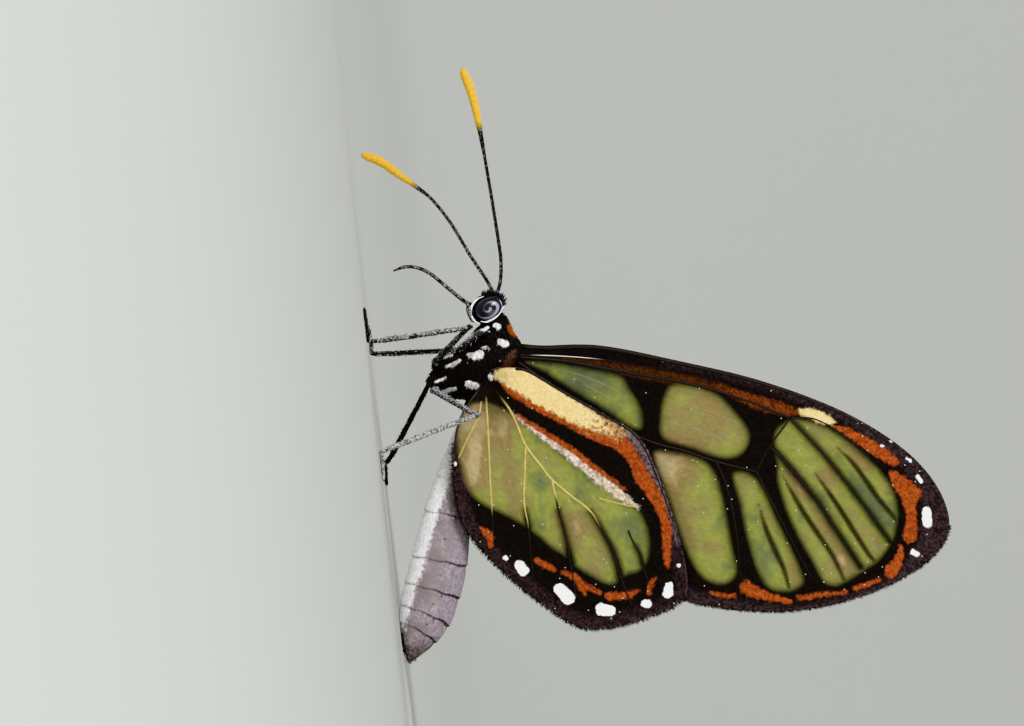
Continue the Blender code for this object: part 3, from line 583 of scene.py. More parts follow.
SPIRACLES = ((10.57, 3.33), (12.74, 2.82), (14.4, 2.2), (15.6, 1.65))
SEGMENT_SLANT = ((7.0, 11.8, 14.0, 15.5, 17.0), (0.26, 0.28, 0.38, 0.48, 0.70))

# Feelers and mouthparts, (X, Y, Z)
ANTENNA_PATHS = {
    "l": (
        (-3.45, -0.30, 7.95), (-4.55, -0.55, 8.44), (-5.81, -0.80, 8.64), (-6.86, -1.00, 8.64),
        (-9.63, -1.60, 8.52), (-11.8, -2.05, 8.40), (-14.3, -2.55, 8.24), (-16.1, -2.85, 8.04),
        (-17.75, -3.10, 7.62),
    ),
    "r": (
        (-3.45, 0.20, 8.10), (-4.64, 0.72, 7.72), (-6.45, 2.00, 6.81), (-8.59, 3.50, 5.83),
        (-10.1, 4.60, 4.89), (-10.9, 5.20, 4.12), (-11.8, 5.90, 3.12), (-12.8, 6.50, 2.01),
        (-13.42, 6.86, 0.85),
    ),
}  # fmt: skip
# Feelers: (share of the length, radius), then where the yellow club starts and how whitish they are
ANTENNA_RADII = (
    (0.0, 0.16), (0.03, 0.15), (0.05, 0.11), (0.62, 0.10), (0.72, 0.15), (0.82, 0.25), (0.93, 0.29),
    (0.975, 0.265), (0.992, 0.18), (1.0, 0.05),
)  # fmt: skip
ANTENNA_SEGMENT = 0.36
ANTENNA_RING_DEPTH = 0.16
CLUB_START = {"l": 0.725, "r": 0.685}
FEELER_FLECKS = {"l": -0.26, "r": -0.18}
PALP_PATH = ((-2.75, 0.25, 6.90), (-2.50, 0.42, 6.56), (-2.92, 0.66, 6.38), (-3.64, 0.75, 6.30))
PALP_RADII = ((0, 0.3, 0.36, 0.75, 0.80, 0.97, 1), (0.15, 0.17, 0.14, 0.16, 0.10, 0.09, 0.03))
PROBOSCIS_PATH = (
    (-3.30, 0.0, 6.95), (-3.56, 0.0, 6.30), (-4.47, 0.0, 5.36), (-5.50, 0.0, 4.37), (-6.02, 0.0, 3.57),
    (-6.17, 0.0, 2.79), (-6.01, 0.0, 2.05),
)  # fmt: skip
PROBOSCIS_RADIUS = 0.125
PROBOSCIS_ROOT_RADIUS = 0.17
PROBOSCIS_RING = 0.14

# Legs, (X, Y, Z) of hip, trochanter, knee, ankle and toe, with Y away from the middle plane
FORELEG_PATH = ((-1.45, 0.90, 7.10), (-1.58, 1.40, 6.80), (-1.18, 1.48, 6.15), (-0.58, 1.12, 5.0))
FORELEG_RADII = ((0, 0.3, 0.8, 1), (0.22, 0.20, 0.16, 0.06))
FORELEG_HAIRS = 90
FORELEG_HAIR_LENGTH = 0.22
MID_HIP = (0.25, 0.75, 4.60)
HIND_HIP = (1.15, 0.75, 4.40)
LEG_PLACES = {
    "midleg_l": (
        MID_HIP, (-0.20, 1.15, 3.95), (-2.04, 3.90, 6.19), (-1.87, 4.55, 0.55), (-3.95, 6.95, 0.2),
    ),
    "midleg_r": (
        MID_HIP, (-0.15, 1.15, 3.95), (-0.76, 4.10, 5.55), (-1.09, 4.75, 0.55), (-2.70, 6.95, 0.2),
    ),
    "hindleg_l": (HIND_HIP, (1.48, 1.05, 3.65), (3.29, 4.00, 6.07), (4.73, 4.60, 0.55), (6.60, 6.75, 0.2)),
    "hindleg_r": (HIND_HIP, (1.20, 1.15, 3.65), (0.95, 4.20, 3.50), (5.30, 5.00, 0.55), (7.00, 6.90, 0.2)),
}  # fmt: skip

# How whitish each leg is, and its sizes
LEG_PALENESS = {"midleg_l": 0.08, "midleg_r": -0.06, "hindleg_l": 0.20, "hindleg_r": -0.60}
FEMUR_RADIUS = 0.19
TIBIA_RADIUS = 0.165
TARSUS_RADIUS = 0.14
TARSAL_JOINTS = 5
LEG_SIDES = 16
LEG_SPINES = 420
LEG_SPINE_LENGTH = 0.15
SPINE_WIDTH = 0.04


def smooth_path(points, per_span, closed=False):
    """Points on a Catmull-Rom curve through the given ones, per_span to each stretch."""
    points = np.array(points, float)
    count = len(points)
    made = []
    for i in range(count if closed else count - 1):
        if closed:
            before, start, end, after = (points[(i + k) % count] for k in (-1, 0, 1, 2))
        else:
            start, end = points[i], points[i + 1]
            before = points[i - 1] if i else 2 * start - end
            after = points[i + 2] if i + 2 < count else 2 * end - start
        slope = end - before
        bend = 2 * before - 5 * start + 4 * end - after
        twist = 3 * start - before - 3 * end + after
        for u in np.arange(per_span) / per_span:
            made.append(0.5 * (2 * start + slope * u + bend * u**2 + twist * u**3))
    return np.array(made if closed else [*made, points[-1]])


def evenly(path, step):
    """The same path with points at even steps, both ends kept, and how far along it each one is."""
    lengths = np.linalg.norm(np.diff(path, axis=0), axis=1)
    along = np.concatenate([[0.0], np.cumsum(lengths)])
    stops = np.linspace(0.0, along[-1], max(3, round(along[-1] / step) + 1))
    return np.column_stack([np.interp(stops, along, column) for column in path.T]), stops


def drawn(places, per_span, step):
    """A smooth path in even steps, how far along it each point is, and the share of its length."""
    line, stops = evenly(smooth_path(places, per_span), step)
    return line, stops, stops / stops[-1]


def unit(vectors):
    """Vectors at length 1."""
    return vectors / np.maximum(np.linalg.norm(vectors, axis=-1, keepdims=True), 1e-9)


def bell(values, width):
    """1 where the values are 0, falling off to both sides over a width."""
    return np.exp(-((values / width) ** 2))


def new_mesh(name, points, faces, finish, marks=None, bake=None):
    """An object from points in millimetres, with values named at its points and a bake map if given."""
    mesh = bpy.data.meshes.new(name)
    mesh.from_pydata((np.asarray(points) * MM).tolist(), [], faces)
    mesh.shade_smooth()
    for mark, values in (marks or {}).items():
        values = np.asarray(values, np.float32)
        if values.ndim == 2:
            mesh.attributes.new(mark, "FLOAT_VECTOR", "POINT").data.foreach_set("vector", values.ravel())
        else:
            mesh.attributes.new(mark, "FLOAT", "POINT").data.foreach_set("value", values)
    if bake is not None:
        corners = np.empty(len(mesh.loops), np.int32)
        mesh.loops.foreach_get("vertex_index", corners)
        places = np.asarray(bake, np.float32)[corners]
        mesh.uv_layers.new(name="OFBake").data.foreach_set("uv", places.ravel())
    mesh.materials.append(finish)
    obj = bpy.data.objects.new(name, mesh)
    bpy.context.scene.collection.objects.link(obj)
    return obj


def merged(shapes):
    """The points and faces of several shapes as one."""
    points, faces, start = [], [], 0
    for shape_points, shape_faces, *_ in shapes:
        points.append(shape_points)
        faces += [tuple(corner + start for corner in face) for face in shape_faces]
        start += len(shape_points)
    return np.concatenate(points), faces


def joined(shapes):
    """Several (points, faces, marks) as one."""
    marks = {key: np.concatenate([shape[2][key] for shape in shapes]) for key in shapes[0][2]}
    return *merged(shapes), marks


def loft(rings):
    """Points and faces through rings of equally many points, with a cap at each end."""
    count, sides = len(rings), len(rings[0])
    faces = []
    for i in range(count - 1):
        for k in range(sides):
            after = (k + 1) % sides
            faces.append((i * sides + k, i * sides + after, (i + 1) * sides + after, (i + 1) * sides + k))
    faces.append(tuple(reversed(range(sides))))
    faces.append(tuple(range((count - 1) * sides, count * sides)))
    return np.concatenate([np.asarray(ring) for ring in rings]), faces


def tube(path, radii, sides=12, groove=0.0):
    """A round tube along a path; marks give the distance along it and the angle round it."""
    tangents = unit(np.gradient(path, axis=0))
    normal = unit(np.cross(tangents[0], (0.0, 0.31, 0.95)))
    rings, angles = [], 2 * np.pi * np.arange(sides) / sides
    profile = 1 - groove * np.abs(np.sin(angles)) ** 8
    for place, tangent, radius in zip(path, tangents, radii):
        normal = unit(normal - tangent * (normal @ tangent))
        across = np.cross(tangent, normal)
        spokes = np.cos(angles)[:, None] * normal + np.sin(angles)[:, None] * across
        rings.append(place + radius * profile[:, None] * spokes)
    points, faces = loft(rings)
    lengths = np.concatenate([[0.0], np.cumsum(np.linalg.norm(np.diff(path, axis=0), axis=1))])
    marks = {"along": np.repeat(lengths, sides), "around": np.tile(angles, len(path))}
    return points, faces, marks


def ellipsoid(place, half_sizes, axes, segments=48, rings=24):
    """Points and faces of an ellipsoid whose half sizes run along the rows of axes."""
    made = []
    for j in range(rings + 1):
        tilt = np.pi * (j + 0.02) / (rings + 0.04)
        round_it = 2 * np.pi * np.arange(segments) / segments
        made.append(
            place
            + np.outer(np.sin(tilt) * np.cos(round_it), axes[0] * half_sizes[0])
            + np.outer(np.sin(tilt) * np.sin(round_it), axes[1] * half_sizes[1])
            + np.cos(tilt) * axes[2] * half_sizes[2]
        )
    return loft(made)


def distance(points, path):
    """Each point's distance to a path, and how far along it the nearest place is, from 0 to 1."""
    nearest, share = np.full(len(points), 1e6), np.zeros(len(points))
    for i, (start, end) in enumerate(zip(path[:-1], path[1:])):
        span = end - start
        u = np.clip(((points - start) @ span) / max(span @ span, 1e-12), 0.0, 1.0)
        away = np.hypot(*(points - start - u[:, None] * span).T)
        closer = away < nearest
        nearest[closer] = away[closer]
        share[closer] = (i + u[closer]) / (len(path) - 1)
    return nearest, share


def near(points, path, margin):
    """Which points lie within a margin of the path's box."""
    low, high = path.min(axis=0) - margin, path.max(axis=0) + margin
    return ((points > low) & (points < high)).all(axis=1)


def region(points, outlines):
    """Signed distance to the nearest edge of any closed outline, positive inside, at least -REACH."""
    depth = np.full(len(points), -REACH)
    for outline in outlines:
        rim = smooth_path(outline, MARK_CURVE_STEPS, closed=True)
        rim = np.vstack([rim, rim[:1]])
        chosen = near(points, rim, REACH)
        some = points[chosen]
        away, _ = distance(some, rim)
        crossings = np.zeros(len(some), int)
        for (ax, ay), (bx, by) in zip(rim[:-1], rim[1:]):
            if ay != by:
                between = (ay > some[:, 1]) != (by > some[:, 1])
                crossings += between & (some[:, 0] < ax + (some[:, 1] - ay) * (bx - ax) / (by - ay))
        depth[chosen] = np.maximum(depth[chosen], np.where(crossings % 2 == 1, away, -away))
    return np.maximum(depth, -REACH)


def strokes(points, lines):
    """Depth inside tapered lines, each (path, half widths spread evenly from its start to its end)."""
    depth = np.full(len(points), -REACH)
    for places, half_widths in lines:
        path = smooth_path(places, MARK_CURVE_STEPS)
        chosen = near(points, path, REACH)
        away, share = distance(points[chosen], path)
        half_width = np.interp(share, np.linspace(0, 1, len(half_widths)), half_widths)
        depth[chosen] = np.maximum(depth[chosen], half_width - away)
    return np.maximum(depth, -REACH)


def spots(points, ends):
    """Depth inside rounded spots, each (start, end, radii)."""
    return strokes(points, [((start, end), radii) for start, end, radii in ends]) + SPOT_GROWTH


def spread(x, z, hind):
    """How far a wing's middle stands from the plane Y = 0, as in the solids."""
    from_root = np.hypot(x - FOREWING_ROOT[0], z - FOREWING_ROOT[1])
    out = SPREAD_AT_TIPS + SPREAD_AT_ROOT * np.exp(-from_root / SPREAD_LENGTH)
    if not hind:
        return out
    (x0, z0), (x1, z1) = ABDOMEN_STATIONS[1][:2], ABDOMEN_STATIONS[-1][:2]
    from_axis = ((x - x0) * (z1 - z0) - (z - z0) * (x1 - x0)) / math.hypot(x1 - x0, z1 - z0)
    fold = FOLD_ROUND_ABDOMEN * bell(from_axis, FOLD_RADIUS)
    from_tuck = np.hypot(x - HINDWING_TUCK_PLACE[0], z - HINDWING_TUCK_PLACE[1])
    return out + HINDWING_OUTSIDE + fold - HINDWING_TUCK * bell(from_tuck, HINDWING_TUCK_RADIUS)


def on_wing(chart, side, hind, out=0.0):
    """Places in space of (along, ahead) places on a wing, moved out from its middle."""
    root, angle = (HINDWING_ROOT, HINDWING_ANGLE) if hind else (FOREWING_ROOT, FOREWING_ANGLE)
    along, ahead = chart[:, 0], chart[:, 1]
    x = root[0] + along * math.cos(angle) - ahead * math.sin(angle)
    z = root[1] + along * math.sin(angle) + ahead * math.cos(angle)
    return np.column_stack([x, side * (spread(x, z, hind) + out), z])


def wing_chart(outline):
    """A grid of (along, ahead) places that fills an outline, its edge rows on the outline itself."""
    rim = smooth_path(outline, 12, closed=True)
    first, last = rim[:, 0].argmin(), rim[:, 0].argmax()
    front = rim[first : last + 1]
    back = np.vstack([rim[last:], rim[: first + 1]])[::-1]
    low, high = rim[first, 0], rim[last, 0]
    columns = round(1.35 * (high - low) / WING_STEP)
    turn = np.pi * (np.arange(columns) + 0.6) / (columns + 0.2)
    along = (low + high) / 2 - (high - low) / 2 * np.cos(turn)
    top = np.interp(along, front[:, 0], front[:, 1])
    bottom = np.interp(along, back[:, 0], back[:, 1])
    rows = round((top - bottom).max() / WING_STEP)
    ahead = bottom[:, None] + np.linspace(0.0, 1.0, rows + 1) * (top - bottom)[:, None]
    chart = np.stack([np.repeat(along[:, None], rows + 1, axis=1), ahead], axis=2)
    return chart.reshape(-1, 2), columns, rows + 1, np.vstack([rim, rim[:1]])


def tinted(chart, tints, pleats):
    """The cells' tint from 0, grey-green, to 1, ochre, changed round places and along the pleats."""
    value = np.full(len(chart), CELL_TINT)
    for place, radius, amount in tints:
        value += amount * np.exp(-(((chart - place) ** 2).sum(axis=1)) / radius**2)
    for path, half_width, amount in pleats:
        value += amount * bell(distance(chart, smooth_path(path, 4))[0], half_width)
    return value


def forewing_marks(chart, rim):
    """How deep each place of the forewing lies inside each marking."""
    cells = np.minimum(region(chart, FOREWING_CELLS), -strokes(chart, FOREWING_CELL_BARS))
    folds = strokes(chart, [(fold, FOLD_HALF_WIDTHS) for fold in FOREWING_FOLDS])
    from_rim, _ = distance(chart, rim)
    outer = region(chart, FOREWING_FIELD)
    return {
        "margin": np.minimum(-outer, (chart[:, 0] - FOREWING_MARGIN_START) * 0.3),
        "edge": 0.10 - from_rim,
        "brown": strokes(chart, FOREWING_BROWN_LINES),
        # The clear depth is cut beside the folds, so that painted shade darkens the membrane there
        "clear": np.minimum(cells, FOLD_PAINTED_SHADE - folds),
        "tint": tinted(chart, FOREWING_TINTS, FOREWING_PLEATS),
        "rust": region(chart, FOREWING_RUST),
        "orange": np.maximum(region(chart, FOREWING_ORANGE), strokes(chart, FOREWING_ORANGE_LINES)),
        "cream": region(chart, FOREWING_CREAM),
        "white": spots(chart, FOREWING_WHITE),
        # Painted shade along the folds' creases
        "dark": np.minimum(folds, cells - 0.1),
    }


def hindwing_marks(chart, rim):
    """How deep each place of the hindwing lies inside each marking."""
    from_root = np.hypot(*chart.T)
    cells = np.minimum(region(chart, HINDWING_CELLS), -strokes(chart, HINDWING_CELL_BARS))
    cells = np.minimum(cells, (from_root - 0.95) * 0.24)
    from_rim, _ = distance(chart, rim)
    dark_veins = [(HINDWING_VEINS["median"][0], (0.03, 0.10))]
    orange_lines = HINDWING_ORANGE_LINES + HINDWING_RUST_LINES
    cream = region(chart, HINDWING_CREAM)
    from_dust = chart[:, 0] + 0.5 * chart[:, 1] - CREAM_DUST_START
    return {
        "margin": np.minimum(np.minimum(HINDWING_MARGIN - from_rim, 0.12), (from_root - 4.0) * 0.2),
        "edge": 0.08 - from_rim,
        "border": strokes(chart, HINDWING_BORDER_LINES),
        "clear": cells,
        "tint": tinted(chart, HINDWING_TINTS, HINDWING_PLEATS),
        "pale": strokes(chart, HINDWING_PALE_LINES),
        "black": np.maximum(region(chart, HINDWING_BLACK), strokes(chart, dark_veins)),
        "orange": np.maximum(region(chart, HINDWING_ORANGE), strokes(chart, orange_lines)),
        "cream": cream,
        "dust": np.minimum(cream + 0.12, from_dust * 0.15),
        "white": spots(chart, HINDWING_WHITE),
    }


def sheet_faces(columns, rows, start, flip):
    """Quads of a grid whose point (i, j) is start + i * rows + j."""
    i, j = np.meshgrid(np.arange(columns - 1), np.arange(rows - 1), indexing="ij")
    corner = (start + i * rows + j).ravel()
    quads = np.stack([corner, corner + rows, corner + rows + 1, corner + 1], axis=1)
    return quads[:, ::-1] if flip else quads


def wing_sheet(chart, columns, rows, side, hind, bare):
    """A thin closed plate, half as thick in its bare cells: both faces of a wing and the strip round it."""
    half = WING_HALF_THICKNESS * (1 - 0.5 * np.clip(bare / 0.4, 0, 1))
    outer, inner = on_wing(chart, side, hind, half), on_wing(chart, side, hind, -half)
    count = len(chart)
    index = np.arange(count).reshape(columns, rows)
    ring = np.concatenate([index[:-1, 0], index[-1, :-1], index[1:, -1][::-1], index[0, 1:][::-1]])
    strip = np.stack([ring, ring + count, np.roll(ring, -1) + count, np.roll(ring, -1)], axis=1)
    if side > 0:
        strip = strip[:, ::-1]
    outer_faces = sheet_faces(columns, rows, 0, side > 0)
    inner_faces = sheet_faces(columns, rows, count, side < 0)
    return np.concatenate([outer, inner]), np.concatenate([outer_faces, inner_faces, strip]).tolist()


def hairs(roots, directions, lengths, widths, bends, unwrap, marks):
    """Tapered hairs as one joined mesh, three-sided and bent once, each a small patch on the bake map."""
    count = len(roots)
    directions = unit(directions)
    across = unit(np.cross(directions, (0.23, 0.61, 0.76)))
    other = np.cross(directions, across)
    points = np.empty((count, 7, 3))
    middle = roots + directions * (HAIR_MIDDLE * lengths)[:, None] + bends * 0.25
    for k in range(3):
        angle = 2 * np.pi * k / 3
        offset = (across * math.cos(angle) + other * math.sin(angle)) * widths[:, None] / 2
        points[:, k] = roots - directions * HAIR_ROOT_DEPTH + offset
        points[:, 3 + k] = middle + offset * 0.75
    points[:, 6] = roots + directions * lengths[:, None] + bends
    pattern = np.array([(0, 1, 4, 3), (1, 2, 5, 4), (2, 0, 3, 5)])
    tips = np.array([(3, 4, 6), (4, 5, 6), (5, 3, 6)])
    starts = 7 * np.arange(count)[:, None, None]
    faces = (pattern + starts).reshape(-1, 4).tolist() + (tips + starts).reshape(-1, 3).tolist()
    patch = np.array([(-1, -1), (1, -1), (0, -0.6), (-0.8, 0.2), (0.8, 0.2), (0, 0.4), (0, 1)])
    bake = (unwrap[:, None, :] + BAKE_PATCH / 2 * patch).reshape(-1, 2)
    marks = {key: np.repeat(values, 7) for key, values in marks.items()}
    marks["share"] = np.tile([0, 0, 0, HAIR_MIDDLE, HAIR_MIDDLE, HAIR_MIDDLE, 1.0], count)
    return points.reshape(-1, 3), faces, marks, bake


def untinted(count):
    """Marks of hairs that are all black."""
    return {name: np.full(count, -REACH) for name in ("white", "orange", "lilac", "brown")}


def hex_colour(text):
    """A colour in Blender's linear values from its sRGB hex."""
    channels = [int(text[i : i + 2], 16) / 255 for i in (1, 3, 5)]
    return (*(c / 12.92 if c <= 0.04045 else ((c + 0.055) / 1.055) ** 2.4 for c in channels), 1.0)


def add(tree, kind, inputs=None, out=0, **settings):
    """Adds one node with its settings and links, and gives one of its outputs.

    An input, by name or number, is a value, a colour's hex or the socket that feeds it. On a Mix,
    0 is the share and 6 and 7 are the colours. On a MapRange, 0 is the value, 1 and 2 the range
    that it comes from, and 3 and 4 the one that it goes to.
    """
    node = tree.nodes.new("ShaderNode" + kind)
    for name, value in settings.items():
        setattr(node, name, value)
    for key, value in (inputs or {}).items():
        if isinstance(value, bpy.types.NodeSocket):
            tree.links.new(value, node.inputs[key])
        else:
            node.inputs[key].default_value = hex_colour(value) if isinstance(value, str) else value
    return node.outputs[out]


def new_material(name, **constants):
    """A material with its Principled shader, constant values set on the shader's own sockets."""
    made = bpy.data.materials.new(name)
    made.use_nodes = True
    shader = made.node_tree.nodes["Principled BSDF"]
    for key, value in constants.items():
        shader.inputs[key.replace("_", " ")].default_value = value
    return made, made.node_tree


def finished(made, **sources):
    """The material with each of these sockets of its shader fed."""
    shader = made.node_tree.nodes["Principled BSDF"]
    for key, source in sources.items():
        made.node_tree.links.new(source, shader.inputs[key.replace("_", " ")])
    return made


def per_mm(size):
    """The scale that gives a pattern features of this size in millimetres, on coordinates in metres."""
    return 1 / (size * MM)


def painted(tree, base, layers, scales, rag):
    """Lays colours over a base, each one (mark, dark hex, light hex, softness, raggedness)."""
    colour = base
    for mark, dark, light, soft, ragged in layers:
        value = add(tree, "Attribute", out="Fac", attribute_name=mark)
        frayed = add(tree, "Math", {0: rag, 1: ragged, 2: value}, operation="MULTIPLY_ADD")
        mask = add(tree, "MapRange", {0: frayed, 1: -soft, 2: soft}, interpolation_type="SMOOTHSTEP")
        shade = add(tree, "Mix", {0: scales, 6: dark, 7: light}, 2, data_type="RGBA")
        colour = add(tree, "Mix", {0: mask, 6: colour, 7: shade}, 2, data_type="RGBA")
    return colour


def scaled(tree, place, plate_scale, rag_scale, **settings):
    """A coat of scales: its plates, a random value for each, and a noise that frays its markings."""
    plates = add(tree, "TexVoronoi", {"Vector": place, "Scale": plate_scale}, **settings)
    scales = add(tree, "SeparateColor", {0: plates.node.outputs["Color"]})
    noise = add(tree, "TexNoise", {"Vector": place, "Scale": rag_scale, "Detail": 3.0})
    return plates, scales, add(tree, "Math", {0: noise, 1: 0.5}, operation="SUBTRACT")


def flecked(tree, colour, place, scale, above, fleck, edge, **settings):
    """A colour with loose pale scales on it, where the random value of a pattern's cell is high enough."""
    cells = add(tree, "TexVoronoi", {"Vector": place, "Scale": scale}, **settings)
    chance = add(tree, "SeparateColor", {0: cells.node.outputs["Color"]}, 1)
    picked = add(tree, "Math", {0: chance, 1: above}, operation="GREATER_THAN")
    small = add(tree, "MapRange", {0: cells, 1: edge[0], 2: edge[1]})
    shown = add(tree, "Math", {0: small, 1: picked}, operation="MULTIPLY")
    return add(tree, "Mix", {0: shown, 6: colour, 7: fleck}, 2, data_type="RGBA")


def wing_material():
    """Butterfly wing: a bare chitin membrane, olive and half clear, with black, orange and white scales.

    The scales lie like roof tiles and scatter light, so they look matt beside the glossier membrane.
    Real scales are about 0.05 mm across; they are drawn 0.13 mm across so that they show.
    """
    made, tree = new_material("scaled_chitin_membrane", IOR=1.56, Specular_IOR_Level=0.22)
    chart = add(tree, "Attribute", out="Vector", attribute_name="chart")
    plates, scales, rag = scaled(tree, chart, 1 / WING_SCALE, 1 / WING_RAG, voronoi_dimensions="2D")

    # The bare membrane: olive, in soft patches, streaked along the wing, with painted shade that darkens it
    # towards the rims of its cells and beside the folds
    broad = {"Vector": chart, "Scale": 1 / MEMBRANE_PATCH, "Detail": 4.0, "Roughness": 0.6}
    patches = add(tree, "TexNoise", broad)
    patchy = add(tree, "Math", {0: patches, 1: 0.5}, operation="SUBTRACT")
    tint = add(tree, "Attribute", out="Fac", attribute_name="tint")
    varied = add(tree, "Math", {0: patchy, 1: 1.1, 2: tint}, operation="MULTIPLY_ADD")
    tints = add(tree, "ValToRGB", {0: varied})
    ramp = tints.node.color_ramp
    for stop, (position, shade) in zip(ramp.elements, (MEMBRANE_TINTS[0], MEMBRANE_TINTS[-1])):
        stop.position, stop.color = position, hex_colour(shade)
    for position, shade in MEMBRANE_TINTS[1:-1]:
        ramp.elements.new(position).color = hex_colour(shade)
    drawn_out = add(tree, "VectorMath", {0: chart, 1: (0.45, 1.0, 1.0)}, operation="MULTIPLY")
    fine = {"Vector": drawn_out, "Scale": 1 / MEMBRANE_STREAK, "Detail": 4.0, "Roughness": 0.6}
    streaks = add(tree, "TexNoise", fine)
    grain = add(tree, "MapRange", {0: streaks, 1: 0.30, 2: 0.72, 3: 0.86, 4: 1.14})
    depth = add(tree, "Attribute", out="Fac", attribute_name="clear")
    # Painted shade: the membrane is darker where its depth in a cell is small, near the rims and folds
    painted_rim_shade = add(tree, "MapRange", {0: depth, 1: 0.0, 2: 0.75, 3: 0.70, 4: 1.05})
    lightness = add(tree, "Math", {0: grain, 1: painted_rim_shade}, operation="MULTIPLY")
    membrane = add(tree, "HueSaturation", {"Value": lightness, "Color": tints})

    black = add(tree, "Mix", {0: scales, 6: "#070505", 7: "#181210"}, 2, data_type="RGBA")
    under = painted(tree, black, WING_COLOURS_UNDER_CELLS, scales, rag)
    frayed = add(tree, "Math", {0: rag, 1: 0.10, 2: depth}, operation="MULTIPLY_ADD")
    bare = add(tree, "MapRange", {0: frayed, 1: -0.12, 2: 0.36}, interpolation_type="SMOOTHSTEP")
    colour = add(tree, "Mix", {0: bare, 6: under, 7: membrane}, 2, data_type="RGBA")
    colour = painted(tree, colour, WING_COLOURS_OVER_CELLS, scales, rag)
    scale = 1 / WING_FLECK_SPACING
    colour = flecked(tree, colour, chart, scale, 0.86, "#F2F2EA", (0.055, 0.035), voronoi_dimensions="2D")

    # Bare cells are half clear and glossier; under the pale dust they stay opaque
    dust = add(tree, "Attribute", out="Fac", attribute_name="pale")
    covered = add(tree, "Math", {0: dust, 1: 0.0}, operation="GREATER_THAN")
    open_share = add(tree, "Math", {0: bare, 1: covered}, operation="SUBTRACT", use_clamp=True)
    alpha = add(tree, "MapRange", {0: open_share, 3: 1.0, 4: 0.80})
    rough = add(tree, "MapRange", {0: bare, 3: 0.72, 4: 0.42})
    coated = add(tree, "Math", {0: 1.0, 1: bare}, operation="SUBTRACT")
    tiles = add(tree, "Math", {0: plates, 1: coated}, operation="MULTIPLY")
    bump = add(tree, "Bump", {"Strength": 0.35, "Distance": 0.03 * MM, "Height": tiles})
    return finished(made, Base_Color=colour, Alpha=alpha, Roughness=rough, Normal=bump)


def vein_material():
    """Wing veins: hollow tubes of hard chitin, black or amber yellow, smooth and a little glossy."""
    made, tree = new_material("hard_chitin_vein", Roughness=0.5, IOR=1.56, Specular_IOR_Level=0.35)
    place = add(tree, "TexCoord", out="Object")
    mottle = add(tree, "TexNoise", {"Vector": place, "Scale": per_mm(VEIN_MOTTLE), "Detail": 3.0})
    amber = add(tree, "Mix", {0: mottle, 6: "#A68A42", 7: "#E6D28E"}, 2, data_type="RGBA")
    colour = add(tree, "Mix", {0: mottle, 6: "#0B0807", 7: "#2A201B"}, 2, data_type="RGBA")
    for tone, shade in (("yellow", amber), ("white", "#E4DDD2"), ("faint", "#969068")):
        share = add(tree, "Attribute", out="Fac", attribute_name=tone)
        colour = add(tree, "Mix", {0: share, 6: colour, 7: shade}, 2, data_type="RGBA")
    bump = add(tree, "Bump", {"Strength": 0.3, "Distance": 0.01 * MM, "Height": mottle})
    return finished(made, Base_Color=colour, Normal=bump)


def body_material():
    """Body scales: flat overlapping chitin plates over the skin, matt with a soft sheen.

    They are black, white, orange or lilac, and are drawn 0.14 mm across, about twice the real
    size, so that they show.
    """
    made, tree = new_material("overlapping_body_scales", Roughness=0.7, IOR=1.5, Specular_IOR_Level=0.25)
    place = add(tree, "TexCoord", out="Object")
    plates, scales, rag = scaled(tree, place, per_mm(BODY_SCALE), per_mm(BODY_RAG))
    broad = add(tree, "TexNoise", {"Vector": place, "Scale": per_mm(LILAC_PATCH), "Detail": 3.0})
    black = add(tree, "Mix", {0: scales, 6: "#060505", 7: "#1B1716"}, 2, data_type="RGBA")
    patchy = add(tree, "MapRange", {0: broad, 1: 0.36, 2: 0.64})
    light_lilac = add(tree, "Mix", {0: patchy, 6: "#887B7A", 7: "#B6AAB0"}, 2, data_type="RGBA")
    lilac = add(tree, "Mix", {0: scales, 6: "#9A8E94", 7: light_lilac}, 2, data_type="RGBA")
    grain = add(tree, "MapRange", {0: scales, 3: 0.88, 4: 1.08})
    lilac = add(tree, "HueSaturation", {"Value": grain, "Color": lilac})
    abdomen = add(tree, "Attribute", out="Fac", attribute_name="abdomen")
    behind = add(tree, "MapRange", {0: abdomen, 1: -0.35, 2: 0.35}, interpolation_type="SMOOTHSTEP")
    colour = add(tree, "Mix", {0: behind, 6: black, 7: lilac}, 2, data_type="RGBA")
    colour = painted(tree, colour, BODY_COLOURS, scales, rag)
    colour = flecked(tree, colour, place, per_mm(BODY_FLECK_SPACING), 0.84, "#CFC8CE", (0.16, 0.10))
    bump = add(tree, "Bump", {"Strength": 0.55, "Distance": 0.03 * MM, "Height": plates})
    return finished(made, Base_Color=colour, Normal=bump)


